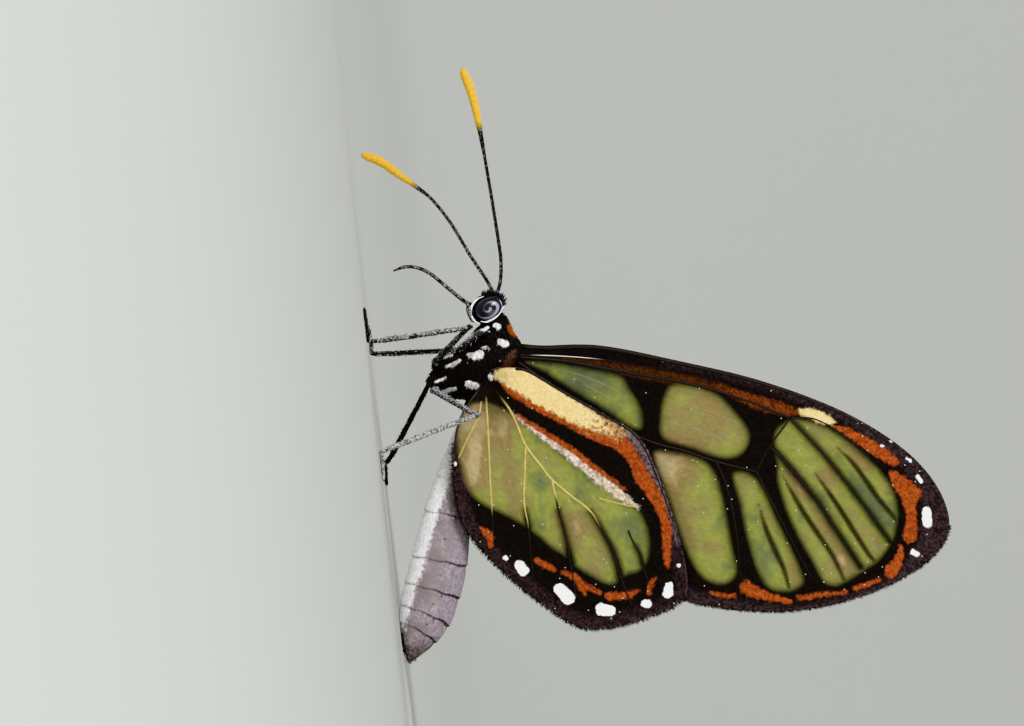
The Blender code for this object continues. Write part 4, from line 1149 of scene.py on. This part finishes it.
def limb_material():
    """Leg and feeler scales: black plates with whitish ones among them, which make pepper-and-salt flecks.

    They are drawn 0.06 mm across, near the real size; the feelers' clubs are golden yellow.
    The pale stripe along one side of the proboscis is a painted highlight.
    """
    made, tree = new_material("pepper_and_salt_scales", Roughness=0.6, IOR=1.5, Specular_IOR_Level=0.3)
    place = add(tree, "TexCoord", out="Object")
    plates = add(tree, "TexVoronoi", {"Vector": place, "Scale": per_mm(LIMB_SCALE)})
    scales = add(tree, "SeparateColor", {0: plates.node.outputs["Color"]})
    broad = add(tree, "TexNoise", {"Vector": place, "Scale": per_mm(LIMB_CLUMP), "Detail": 3.0})
    pale = add(tree, "Attribute", out="Fac", attribute_name="pale")
    yellow = add(tree, "Attribute", out="Fac", attribute_name="yellow")
    black = add(tree, "Mix", {0: scales, 6: "#070606", 7: "#1F1B1A"}, 2, data_type="RGBA")
    white = add(tree, "Mix", {0: scales, 6: "#6A666C", 7: "#DAD7DC"}, 2, data_type="RGBA")
    chance = add(tree, "Math", {0: scales, 1: 0.5, 2: pale}, operation="MULTIPLY_ADD")
    clumped = add(tree, "Math", {0: chance, 1: broad}, operation="ADD")
    whitish = add(tree, "MapRange", {0: clumped, 1: 0.74, 2: 1.22})
    colour = add(tree, "Mix", {0: whitish, 6: black, 7: white}, 2, data_type="RGBA")
    gold = add(tree, "Mix", {0: broad, 6: "#E0A02A", 7: "#F8D660"}, 2, data_type="RGBA")
    colour = add(tree, "Mix", {0: yellow, 6: colour, 7: gold}, 2, data_type="RGBA")
    bump = add(tree, "Bump", {"Strength": 0.5, "Distance": 0.02 * MM, "Height": plates})
    return finished(made, Base_Color=colour, Normal=bump)


def eye_material():
    """Compound eye: clear chitin lenses over dark pigment, which look glossy, with a paler swirl in them.

    Real lenses are about 0.02 mm across; they are drawn 0.05 mm across so that they show.
    """
    gloss = {"Coat_Weight": 0.35, "Coat_Roughness": 0.12}
    made, tree = new_material("compound_eye_lenses", Roughness=0.25, IOR=1.5, **gloss)
    place = add(tree, "TexCoord", out="Object")
    lenses = add(tree, "TexVoronoi", {"Vector": place, "Scale": per_mm(EYE_LENS)})
    swirl = add(tree, "Attribute", out="Fac", attribute_name="swirl")
    band = add(tree, "MapRange", {0: swirl, 1: 0.38, 2: 0.90}, interpolation_type="SMOOTHSTEP")
    colour = add(tree, "Mix", {0: band, 6: "#1F1B29", 7: "#ABA7BC"}, 2, data_type="RGBA")
    bump = add(tree, "Bump", {"Strength": 0.25, "Distance": 0.008 * MM, "Height": lenses})
    return finished(made, Base_Color=colour, Normal=bump)


def hair_material():
    """Hair scales: thin black chitin bristles, or tinted ones where the skin's own marks are."""
    made, tree = new_material("bristle_chitin", Roughness=0.5, IOR=1.55)
    share = add(tree, "Attribute", out="Fac", attribute_name="share")
    black = add(tree, "Mix", {0: share, 6: "#0A0808", 7: "#2A2222"}, 2, data_type="RGBA")
    return finished(made, Base_Color=painted(tree, black, HAIR_COLOURS, share, share))


def backdrop_material():
    """Seamless studio paper: pale, matt, with faint fibre drawn 40 mm wide, as real fibre is too fine."""
    made, tree = new_material("studio_paper", Roughness=0.95, Specular_IOR_Level=0.0)
    place = add(tree, "TexCoord", out="Object")
    fibre = add(tree, "TexNoise", {"Vector": place, "Scale": per_mm(PAPER_FIBRE), "Detail": 2.0})
    colour = add(tree, "Mix", {0: fibre, 6: "#C3C5C1", 7: "#C4C6C2"}, 2, data_type="RGBA")
    return finished(made, Base_Color=colour)


def make_wings(membrane, vein, hair):
    """Both pairs of wings: membrane, veins and fringe of each."""
    for kind, outline, veins, mark in (
        ("forewing", FOREWING_OUTLINE, FOREWING_VEINS, forewing_marks),
        ("hindwing", HINDWING_OUTLINE, HINDWING_VEINS, hindwing_marks),
    ):
        hind = kind == "hindwing"
        chart, columns, rows, rim = wing_chart(outline)
        made = mark(chart, rim)
        marks = {name: np.tile(made.get(name, np.full(len(chart), -REACH)), 2) for name in MARKS}
        marks["chart"] = np.tile(np.column_stack([chart, np.zeros(len(chart))]), (2, 1))
        for letter, side in SIDES.items():
            points, faces = wing_sheet(chart, columns, rows, side, hind, made["clear"])
            wing = new_mesh(f"{kind}_membrane_{letter}", points, faces, membrane, marks)
            add_piece(wing, "clear_membrane", f"{kind}_{letter}")
            points, faces, tones = joined([rib(side, hind, *row) for row in veins.values()])
            add_piece(new_mesh(f"{kind}_veins_{letter}", points, faces, vein, tones), "clear_membrane")
            fringe(kind, rim, side, hind, hair, letter)


def rib(side, hind, path, start, end, pale_share=0.0, tone="yellow"):
    """One vein as a tube, pale in its tone up to a share of its length and black beyond."""
    line, stops, _ = drawn(path, 8, 0.16)
    points, faces, marks = tube(on_wing(line, side, hind), np.linspace(start, end, len(line)), VEIN_SIDES)
    from_root = np.repeat(np.hypot(*line.T), VEIN_SIDES)
    pale = np.clip((pale_share - marks["along"] / stops[-1]) / 0.08 + 0.5, 0, 1)
    pale = pale * np.clip(from_root / 0.9 - 0.9, 0, 1) * (pale_share > 0)
    return points, faces, {name: pale * (name == tone) for name in ("yellow", "white", "faint")}


def fringe(kind, rim, side, hind, hair, letter):
    """Short hair scales along a wing's outer and rear edge, longest at the hindwing's hem."""
    line, _ = evenly(rim, FRINGE_STEP)
    outward = unit(np.gradient(line, axis=0))[:, ::-1] * (-1, 1)
    middle = line.mean(axis=0)
    outward *= np.sign(((line - middle) * outward).sum(axis=1))[:, None]
    hem = outward[:, 1] < (0.1 if hind else 0.3)
    hem &= line[:, 0] > (HINDWING_HEM_START if hind else FOREWING_HEM_START)
    line, outward = line[hem], outward[hem]
    line = np.repeat(line, 2, axis=0) + rng.normal(0, 0.03, (2 * len(line), 2))
    outward = np.repeat(outward, 2, axis=0)
    lean = outward + rng.normal(0, 0.28, outward.shape) + (0.25, 0.0)
    roots = on_wing(line - outward * 0.06, side, hind)
    ends = on_wing(line + lean * 0.3, side, hind)
    count = len(line)
    lengths = rng.uniform(*FRINGE_LENGTHS, count) * (1.0 if hind else FOREWING_FRINGE_SHARE)
    ahead = ends - roots + rng.normal(0, 0.03, (count, 3))
    unwrap = (line - rim.min(axis=0)) / (rim.max(axis=0) - rim.min(axis=0)).max()
    widths, bends = np.full(count, FRINGE_WIDTH), np.zeros((count, 3))
    shape = hairs(roots, ahead, lengths, widths, bends, unwrap, untinted(count))
    add_hairs(f"{kind}_fringe_{letter}", "black_scales", hair, *shape)


def abdomen_at(x):
    """Centre, half height, half width and the upward direction of the abdomen's section at X."""
    fine = smooth_path(ABDOMEN_STATIONS, 12)
    z, half_height, half_width = (np.interp(x, fine[:, 0], fine[:, k]) for k in (1, 2, 3))
    slope = (np.interp(x + 0.2, fine[:, 0], fine[:, 1]) - np.interp(x - 0.2, fine[:, 0], fine[:, 1])) / 0.4
    up = unit(np.stack([-slope, 0 * slope, np.ones_like(slope)], axis=-1))
    return z, half_height, half_width, up


def body_shapes():
    """Closed shapes that overlap, to be fused into one skin."""
    angles = 2 * np.pi * np.arange(40) / 40
    stations = smooth_path([(*low, *high, half) for low, high, half in THORAX_RINGS], 4)
    thorax = []
    for low_x, low_z, high_x, high_z, half in stations:
        middle = np.array(((low_x + high_x) / 2, 0, (low_z + high_z) / 2))
        up = np.array((high_x - low_x, 0, high_z - low_z)) / 2
        up *= 1 - SKIN_DEPTH / np.linalg.norm(up)
        across = (half - SKIN_DEPTH) * np.cos(angles) * (1 + 0.1 * np.sin(angles))
        thorax.append(middle + np.outer(np.sin(angles), up) + np.outer(across, (0, 1, 0)))
    abdomen = []
    for x in np.linspace(ABDOMEN_STATIONS[0][0], ABDOMEN_STATIONS[-1][0], 70):
        z, half_height, half_width, up = abdomen_at(np.array(x))
        tall = np.outer(np.sin(angles) * (half_height - ABDOMEN_SKIN_DEPTH), up)
        wide = np.outer(np.cos(angles) * (half_width - ABDOMEN_SKIN_DEPTH), (0, 1, 0))
        abdomen.append(np.array((x, 0, z)) + tall + wide)
    upward = head_upward()
    axes = np.array((HEAD_FORWARD, (0, 1, 0), upward))
    head = np.array((HEAD_PLACE[0], 0, HEAD_PLACE[1]))
    face = head + HEAD_FORWARD * 0.40 + upward * 0.1
    shapes = [loft(thorax), loft(abdomen), ellipsoid(head, HEAD_HALF_SIZES, axes)]
    shapes.append(ellipsoid(face, FACE_HALF_SIZES, axes))
    shapes.append(ellipsoid(np.array(NECK_PLACE), NECK_HALF_SIZES, axes))
    for side in SIDES.values():
        shapes.append(ellipsoid(np.array(EYE_SOCKET[0]) * (1, side, 1), EYE_SOCKET[1], axes))
        for place, half_sizes, lean in BODY_BULGES:
            lean = np.array(lean) / np.linalg.norm(lean)
            leaning = np.array((np.cross((0, 1, 0), lean), (0, 1, 0), lean))
            shapes.append(ellipsoid(np.array(place) * (1, side, 1), half_sizes, leaning, 24, 16))
    return shapes


def head_upward():
    """The head's own upward direction."""
    return np.cross(HEAD_FORWARD, (0, 1, 0)) * -1


def fused(shapes, name, voxel, smoothing):
    """One closed skin over overlapping shapes, as points, faces and the normals at its points."""
    points, faces = merged(shapes)
    mesh = bpy.data.meshes.new(name)
    mesh.from_pydata((points * MM).tolist(), [], faces)
    obj = bpy.data.objects.new(name, mesh)
    bpy.context.scene.collection.objects.link(obj)
    remesh = obj.modifiers.new("skin", "REMESH")
    remesh.mode = "VOXEL"
    remesh.voxel_size = voxel * MM
    smooth = obj.modifiers.new("soft", "SMOOTH")
    smooth.factor = 0.5
    smooth.iterations = smoothing
    bpy.context.view_layer.update()
    result = bpy.data.meshes.new_from_object(obj.evaluated_get(bpy.context.evaluated_depsgraph_get()))
    count = len(result.vertices)
    places, normals = np.empty(count * 3), np.empty(count * 3)
    result.vertices.foreach_get("co", places)
    result.vertices.foreach_get("normal", normals)
    quads = [tuple(face.vertices) for face in result.polygons]
    bpy.data.objects.remove(obj, do_unlink=True)
    bpy.data.meshes.remove(result)
    return places.reshape(-1, 3) / MM, quads, normals.reshape(-1, 3)


def body_marks(points):
    """What the skin and its hairs carry at places on the body, as depths inside each marking."""
    x, y, z = points.T
    flat = np.column_stack([x, z])
    white = np.where((np.abs(y) > 0.30) & (x < ABDOMEN_START), strokes(flat, BODY_WHITE), -REACH)
    orange = np.where(x < -0.9, strokes(flat, (ORANGE_COLLAR,)), -REACH)
    brown = np.where(np.abs(y) > 0.5, strokes(flat, (BROWN_DOWN,)), -REACH)
    centre, half_height, _, up = abdomen_at(x)
    height = (np.column_stack([0 * x, 0 * x, z - centre]) * up).sum(axis=1) / np.maximum(half_height, 0.2)
    abdomen = x - LILAC_START - 0.9 * np.clip(6.2 - z, -1, 1) * (x < 4)
    stripe = np.where(x > ABDOMEN_START, (np.interp(x, *BELLY_STRIPE) - height) * half_height, -REACH)
    stripe = np.minimum(stripe, (STRIPE_END - x) * 0.5)
    after, before = from_segment_ends(x, z)
    seam = 0.005 + 0.05 * np.clip(height + 0.3, 0, 1) - np.minimum(after * 0.7, before)
    seam = np.where(x > SEAMS_START, seam, -REACH)
    crease = 0.05 - 0.12 * after - np.abs(height - BACK_HEIGHT) * half_height
    crease = np.where((x > CREASES_START) & (after < 0.55), crease, -REACH)
    dots = [((place, (place[0] + 0.02, place[1])), (0.055, 0.055)) for place in SPIRACLES]
    dots = np.where(np.abs(y) > 0.5, strokes(flat, dots), -REACH)
    return {
        "white": white,
        "orange": orange,
        "brown": brown,
        "abdomen": abdomen,
        "stripe": stripe,
        "tip": np.minimum(x - TIP_START + 0.8 * np.maximum(-height - 0.2, 0), 0.6),
        "seam": np.maximum(np.maximum(seam, crease), dots),
        "back": np.where(x > ABDOMEN_START, (height - BACK_HEIGHT) * half_height, -REACH),
    }


def from_segment_ends(x, z):
    """How far places on the abdomen are behind the last end of a segment, and ahead of the next."""
    centre = abdomen_at(x)[0]
    slanted = x - np.interp(x, *SEGMENT_SLANT) * (z - centre) + 0.03 * np.sin(4.2 * (z - centre) + x)
    gaps = slanted - np.array(SEGMENT_ENDS)[:, None]
    return np.where(gaps >= 0, gaps, 9.0).min(axis=0), np.where(gaps < 0, -gaps, 9.0).min(axis=0)


def body_unwrap(points):
    """The body's skin rolled out: along it, and round its own middle line."""
    x, y, z = points.T
    middle = np.interp(x, *BODY_MIDDLE)
    return np.column_stack([(x + 4.5) / 23.0, np.arctan2(y, z - middle) / (2 * np.pi) + 0.5])


def make_body(skin, hair):
    """One skin over head, thorax and abdomen, with its hair."""
    points, faces, normals = fused(body_shapes(), "body_skin", SKIN_VOXEL, 6)
    x, _, z = points.T
    marks = body_marks(points)
    after, before = from_segment_ends(x, z)
    flare = 0.035 * np.exp(-before / 0.5) - 0.075 * np.exp(-after / 0.22)
    points = points + normals * np.where(x > 3.0, flare, 0.0)[:, None]
    points[:, 2] = np.maximum(points[:, 2], FLOOR_GAP)
    body = new_mesh("body_skin", points, faces, skin, marks)
    add_piece(body, "black_scales", "head", "thorax", "abdomen")
    make_body_hair(points, normals, hair)
    make_tip_hair(points, normals, hair)


def make_body_hair(points, normals, hair):
    """Hair over head and thorax, lying back along them and standing up on the crown."""
    chosen = rng.choice(np.flatnonzero(points[:, 0] < HAIR_END), HAIR_COUNT)
    roots = points[chosen] + rng.normal(0, 0.03, (HAIR_COUNT, 3))
    out = normals[chosen]
    lie = unit(HAIR_LIE - out * (out @ HAIR_LIE)[:, None])
    on_head = roots[:, 0] < NECK
    crown = (roots[:, 0] < CROWN[0]) & (roots[:, 2] > CROWN[1])
    rise = np.where(on_head, HEAD_HAIR_RISE, BODY_HAIR_RISE) + rng.normal(0, 0.12, HAIR_COUNT)
    lengths = np.where(
        on_head, rng.uniform(*HEAD_HAIR_LENGTHS, HAIR_COUNT), rng.uniform(*BODY_HAIR_LENGTHS, HAIR_COUNT)
    )
    lengths = np.where(crown, lengths * CROWN_HAIR_GROWTH, lengths)
    lie = np.where(crown[:, None], unit(CROWN_HAIR_LIE), lie)
    direction = unit(lie + out * rise[:, None] + rng.normal(0, 0.15, roots.shape))
    from_eye = np.hypot(roots[:, 0] - EYE_PLACE[0], roots[:, 2] - EYE_PLACE[1])
    clearing = np.where(roots[:, 2] < EYE_CLEARING_LEVEL, *EYE_CLEARING)
    in_eye = (np.abs(roots[:, 1]) > 0.40) & (from_eye < clearing)
    tips = roots + direction * lengths[:, None]
    covers_white = (body_marks(roots)["white"] < 0.0) & (body_marks(tips)["white"] > -0.03)
    kept = ~in_eye & ~covers_white
    roots, direction, lengths, out = (part[kept] for part in (roots, direction, lengths, out))
    found = body_marks(roots)
    marks = {"white": found["white"], "orange": found["orange"]}
    marks |= {"lilac": found["abdomen"], "brown": found["brown"]}
    widths = rng.uniform(*HAIR_WIDTHS, len(roots))
    shape = hairs(roots, direction, lengths, widths, -out * 0.03, body_unwrap(roots), marks)
    add_hairs("body_hair", "black_scales", hair, *shape)


def make_tip_hair(points, normals, hair):
    """A small tuft under the tip of the abdomen."""
    under = (points[:, 0] > 15.9) & (normals[:, 2] < -0.75) | (points[:, 0] > 17.6)
    chosen = rng.choice(np.flatnonzero(under), TIP_HAIR_COUNT)
    roots = points[chosen]
    direction = unit(TIP_HAIR_LIE + normals[chosen] * 0.12 + rng.normal(0, 0.08, roots.shape))
    count = len(roots)
    lengths, widths = rng.uniform(*TIP_HAIR_LENGTHS, count), np.full(count, TIP_HAIR_WIDTH)
    shape = hairs(roots, direction, lengths, widths, 0 * roots, body_unwrap(roots), untinted(count))
    shape[0][:, 2] = np.maximum(shape[0][:, 2], FLOOR_GAP)
    add_hairs("tip_hair", "black_scales", hair, *shape)


def make_eyes(finish, rim_finish):
    """The eyes, each with a swirl in its lenses and a white rim of scales in two arcs."""
    half_sizes = (EYE_HALF_SIZES[0], EYE_HALF_SIZES[2], EYE_HALF_SIZES[1])
    for letter, side in SIDES.items():
        axes = np.array((HEAD_FORWARD, head_upward(), (0, side, 0)))
        place = np.array((EYE_PLACE[0], side * EYE_OUT, EYE_PLACE[1]))
        points, faces = ellipsoid(place, half_sizes, axes, 72, 48)
        if side > 0:
            faces = [tuple(reversed(face)) for face in faces]
        local = (points - place) @ axes.T / half_sizes
        around, ring = np.arctan2(local[:, 1], local[:, 0]), np.hypot(local[:, 0], local[:, 1])
        swirl = 0.5 + 0.5 * np.sin(2.0 * np.pi * ring * SWIRL_TURNS - around + SWIRL_START)
        swirl *= np.clip(2.4 - 1.7 * ring, 0, 1) * (0.75 + 0.25 * np.cos(around - 2.4))
        lens = new_mesh("eye_lens_" + letter, points, faces, finish, {"swirl": swirl})
        add_piece(lens, "eye_facets", "eye_" + letter)
        rims = []
        for rim in EYE_RIMS:
            line, _, share = drawn(np.array(rim) * (1, side, 1), 8, 0.04)
            swell = np.sin(np.pi * np.clip(share, 0.06, 0.94)) ** 0.5
            points, faces, _ = tube(line, EYE_RIM_RADIUS * swell, 10)
            rims.append((points, faces, {"white": np.full(len(points), REACH)}))
        points, faces, marks = joined(rims)
        add_piece(new_mesh("eye_rim_" + letter, points, faces, rim_finish, marks), "black_scales")


def make_antennae(finish):
    """The feelers: ringed shafts flecked with white, and yellow clubs."""
    for letter, path in ANTENNA_PATHS.items():
        line, stops, share = drawn(path, 10, 0.05)
        phase = (stops / ANTENNA_SEGMENT) % 1.0
        rings = ANTENNA_RING_DEPTH * bell(np.minimum(phase, 1 - phase), 0.10) * (share < 0.98)
        points, faces, marks = tube(line, np.interp(share, *zip(*ANTENNA_RADII)) * (1 - rings), 16)
        ring = (marks["along"] / ANTENNA_SEGMENT) % 1.0
        marks = {
            "yellow": np.clip((marks["along"] / stops[-1] - CLUB_START[letter]) / 0.05, 0, 1),
            "pale": FEELER_FLECKS[letter] + 0.07 * (ring > 0.6) + 0.16 * np.cos(marks["around"] - 2.2),
        }
        feeler = new_mesh(f"antenna_{letter}_scaled", points, faces, finish, marks)
        add_piece(feeler, "feeler_scales", "antenna_" + letter)


def flecks(marks, level, contrast, turn=0.0):
    """Marks of a limb with no yellow, paler on the side that faces a turn round it."""
    return {"yellow": 0 * marks["along"], "pale": level + contrast * np.cos(marks["around"] - turn)}


def make_mouthparts(finish):
    """The proboscis, grooved and finely ringed, and the two palps."""
    line, stops, share = drawn(PROBOSCIS_PATH, 8, 0.04)
    phase = (stops / PROBOSCIS_RING) % 1.0
    full = PROBOSCIS_RADIUS
    radii = np.interp(share, (0, 0.1, 0.9, 1), (PROBOSCIS_ROOT_RADIUS, full, full * 0.85, 0.05))
    radii *= 1 - 0.05 * bell(phase - 0.5, 0.16)
    points, faces, marks = tube(line, radii, 20, 0.28)
    # Painted highlight: a pale stripe along one side of the proboscis
    marks = flecks(marks, -0.14, 0.22, 2.2)
    add_piece(new_mesh("proboscis_tube", points, faces, finish, marks), "black_scales", "proboscis")
    for letter, side in SIDES.items():
        line, _, share = drawn(np.array(PALP_PATH) * (1, side, 1), 8, 0.05)
        points, faces, marks = tube(line, np.interp(share, *PALP_RADII), 14)
        palp = new_mesh(f"palp_{letter}_scaled", points, faces, finish, flecks(marks, 0.05, 0.15))
        add_piece(palp, "black_scales", "palp_" + letter)


def spines(line, radii, stops, chosen, length, white_share):
    """Short spines that stand off a leg and lean to its foot, unwrapped along and round it."""
    tangents = unit(np.gradient(line, axis=0))
    index = np.searchsorted(stops, chosen).clip(1, len(line) - 2)
    angles = rng.uniform(0, 2 * np.pi, len(index))
    across = unit(np.cross(tangents[index], (0.1, 0.9, 0.3)))
    other = np.cross(tangents[index], across)
    out = across * np.cos(angles)[:, None] + other * np.sin(angles)[:, None]
    roots = line[index] + out * (radii[index] * 0.9)[:, None]
    lengths = length * rng.uniform(0.6, 1.3, len(index))
    unwrap = np.column_stack([0.05 + 0.9 * chosen / stops[-1], angles / (2 * np.pi)])
    marks = untinted(len(index)) | {"white": np.where(rng.random(len(index)) < white_share, 1.0, -REACH)}
    widths, directions = np.full(len(index), SPINE_WIDTH), out * 0.8 + tangents[index] * 0.9
    return hairs(roots, directions, lengths, widths, 0 * roots, unwrap, marks)


def leg_profile(knee, ankle, share):
    """Radii along a leg: a club-shaped femur, a slim tibia, and five short tarsal joints."""
    radii = np.interp(
        share,
        (0, knee * 0.4, knee - 0.03, knee, knee + 0.03, ankle - 0.04, ankle, ankle + 0.02, 0.985, 1),
        (FEMUR_RADIUS, FEMUR_RADIUS, 0.15, 0.17, 0.14, TIBIA_RADIUS, 0.14, TARSUS_RADIUS, 0.10, 0.04),
    )
    joint = ((share - ankle) / (1 - ankle) * TARSAL_JOINTS) % 1.0
    notch = 0.14 * bell(np.minimum(joint, 1 - joint), 0.08) * (share > ankle) * (share < 0.97)
    return radii * (1 - notch)


def make_legs(finish, hair):
    """The four walking legs and the two folded forelegs, with their spines and hair."""
    for leg, places in LEG_PLACES.items():
        pair, letter = leg.split("_")
        hip, trochanter, knee, ankle, toe = np.array(places) * (1, SIDES[letter], 1)
        heel = ankle + (toe - ankle) * 0.12
        heel[2] = TARSUS_RADIUS
        toe[2] = TARSUS_RADIUS * 0.8
        thigh, shin = unit(knee - trochanter), unit(ankle - knee)
        corners = [
            hip, trochanter, trochanter + thigh * 0.5, knee - thigh * 0.30, knee + (shin - thigh) * -0.03,
            knee + shin * 0.30, ankle - shin * 0.15, heel, heel + (toe - heel) * 0.2, toe,
        ]  # fmt: skip
        line, stops, share = drawn(corners, 10, 0.05)
        joints = [share[np.linalg.norm(line - joint, axis=1).argmin()] for joint in (knee, ankle)]
        radii = leg_profile(*joints, share)
        points, faces, marks = tube(line, radii, LEG_SIDES)
        paler = np.repeat(np.where(share < joints[1], 0.02, -0.10), LEG_SIDES)
        marks = flecks(marks, paler + LEG_PALENESS[leg], 0.24, -0.6)
        points[:, 2] = np.maximum(points[:, 2], 0.0)
        nodes = [f"{pair}_{part}_{letter}" for part in ("femur", "tibia", "tarsus")]
        add_piece(new_mesh(leg + "_scaled", points, faces, finish, marks), "leg_scales", *nodes)
        chosen = np.sort(rng.uniform(0.1, 0.93, LEG_SPINES)) * stops[-1]
        white_share = 0.6 if LEG_PALENESS[leg] > -0.3 else 0.1
        shape = spines(line, radii, stops, chosen, LEG_SPINE_LENGTH, white_share)
        shape[0][:, 2] = np.maximum(shape[0][:, 2], 0.0)
        add_hairs(leg + "_spines", "leg_scales", hair, *shape)
    for letter, side in SIDES.items():
        line, stops, share = drawn(np.array(FORELEG_PATH) * (1, side, 1), 8, 0.05)
        radii = np.interp(share, *FORELEG_RADII)
        points, faces, marks = tube(line, radii, 14)
        foreleg = new_mesh(f"foreleg_{letter}_scaled", points, faces, finish, flecks(marks, -0.10, 0.15))
        add_piece(foreleg, "leg_scales", "foreleg_" + letter)
        chosen = np.sort(rng.uniform(0.1, 0.98, FORELEG_HAIRS)) * stops[-1]
        shape = spines(line, radii, stops, chosen, FORELEG_HAIR_LENGTH, 0.5)
        add_hairs(f"foreleg_{letter}_hair", "leg_scales", hair, *shape)


def add_piece(piece, slot, *replaced):
    """Rides a piece on the part's one body and hides the solids it stands for; the slot is not used."""
    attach(piece, "root")
    if replaced:
        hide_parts(*replaced)


def add_hairs(name, slot, finish, points, faces, marks, bake):
    """Adds a piece made of hairs."""
    add_piece(new_mesh(name, points, faces, finish, marks, bake), slot)


def make_stage():
    """A round floor that curves up into a wall on every side, far out, so that no edge shows."""
    turn = np.linspace(0, math.pi / 2, 16)[1:]
    profile = [(FLOOR_RADIUS / 2, 0.0), (FLOOR_RADIUS, 0.0)]
    for angle in turn:
        rise = WALL_CURVE - WALL_CURVE * math.cos(angle)
        profile.append((FLOOR_RADIUS + WALL_CURVE * math.sin(angle), rise))
    sides = STAGE_SIDES
    angles = 2 * np.pi * np.arange(sides) / sides
    points = [(r * math.cos(a), r * math.sin(a), z) for r, z in profile for a in angles] + [(0, 0, 0)]
    faces = [(k, (k + 1) % sides, len(points) - 1) for k in range(sides)]
    for i in range(len(profile) - 1):
        for k in range(sides):
            after = (k + 1) % sides
            faces.append((i * sides + k, (i + 1) * sides + k, (i + 1) * sides + after, i * sides + after))
    new_mesh("studio_sweep", np.array(points), faces, backdrop_material())


def make_lights():
    """A soft studio: an even white surround and three large lamps."""
    world = bpy.data.worlds.new("studio")
    world.use_nodes = True
    surround = world.node_tree.nodes["Background"]
    surround.inputs["Color"].default_value = hex_colour("#F4F4F2")
    surround.inputs["Strength"].default_value = SURROUND_STRENGTH
    bpy.context.scene.world = world
    bpy.context.scene.view_settings.view_transform = "Khronos PBR Neutral"
    for name, place, size, power in LAMPS:
        lamp = bpy.data.lights.new(name, "AREA")
        lamp.size = size * MM
        lamp.energy = power
        obj = bpy.data.objects.new(name, lamp)
        obj.location = np.array(place) * MM
        obj.rotation_mode = "QUATERNION"
        obj.rotation_quaternion = Vector(np.array(LAMP_AIM) - np.array(place)).to_track_quat("-Z", "Y")
        obj.visible_camera = False
        bpy.context.scene.collection.objects.link(obj)


def make_camera():
    """A long lens level with the body, turned so that the picture's right is up from the floor."""
    camera = bpy.data.cameras.new("camera")
    camera.sensor_width = SENSOR
    camera.lens = SENSOR * CAMERA_DISTANCE / PICTURE_WIDTH
    camera.clip_start, camera.clip_end = 0.01, 20.0
    obj = bpy.data.objects.new("camera", camera)
    right = (math.sin(PICTURE_TURN), 0.0, math.cos(PICTURE_TURN))
    up = (-math.cos(PICTURE_TURN), 0.0, math.sin(PICTURE_TURN))
    back = (0.0, -1.0, 0.0)
    place = Matrix((right, up, back)).transposed().to_4x4()
    place.translation = (PICTURE_CENTRE[0] * MM, -CAMERA_DISTANCE * MM, PICTURE_CENTRE[1] * MM)
    obj.matrix_world = place
    bpy.context.scene.collection.objects.link(obj)
    bpy.context.scene.camera = obj


def main():
    for obj in list(bpy.data.objects):
        bpy.data.objects.remove(obj, do_unlink=True)
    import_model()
    make_camera()
    make_stage()
    make_lights()
    hair = hair_material()
    make_wings(wing_material(), vein_material(), hair)
    skin = body_material()
    make_body(skin, hair)
    make_eyes(eye_material(), skin)
    limb = limb_material()
    make_antennae(limb)
    make_mouthparts(limb)
    make_legs(limb, hair)


main()
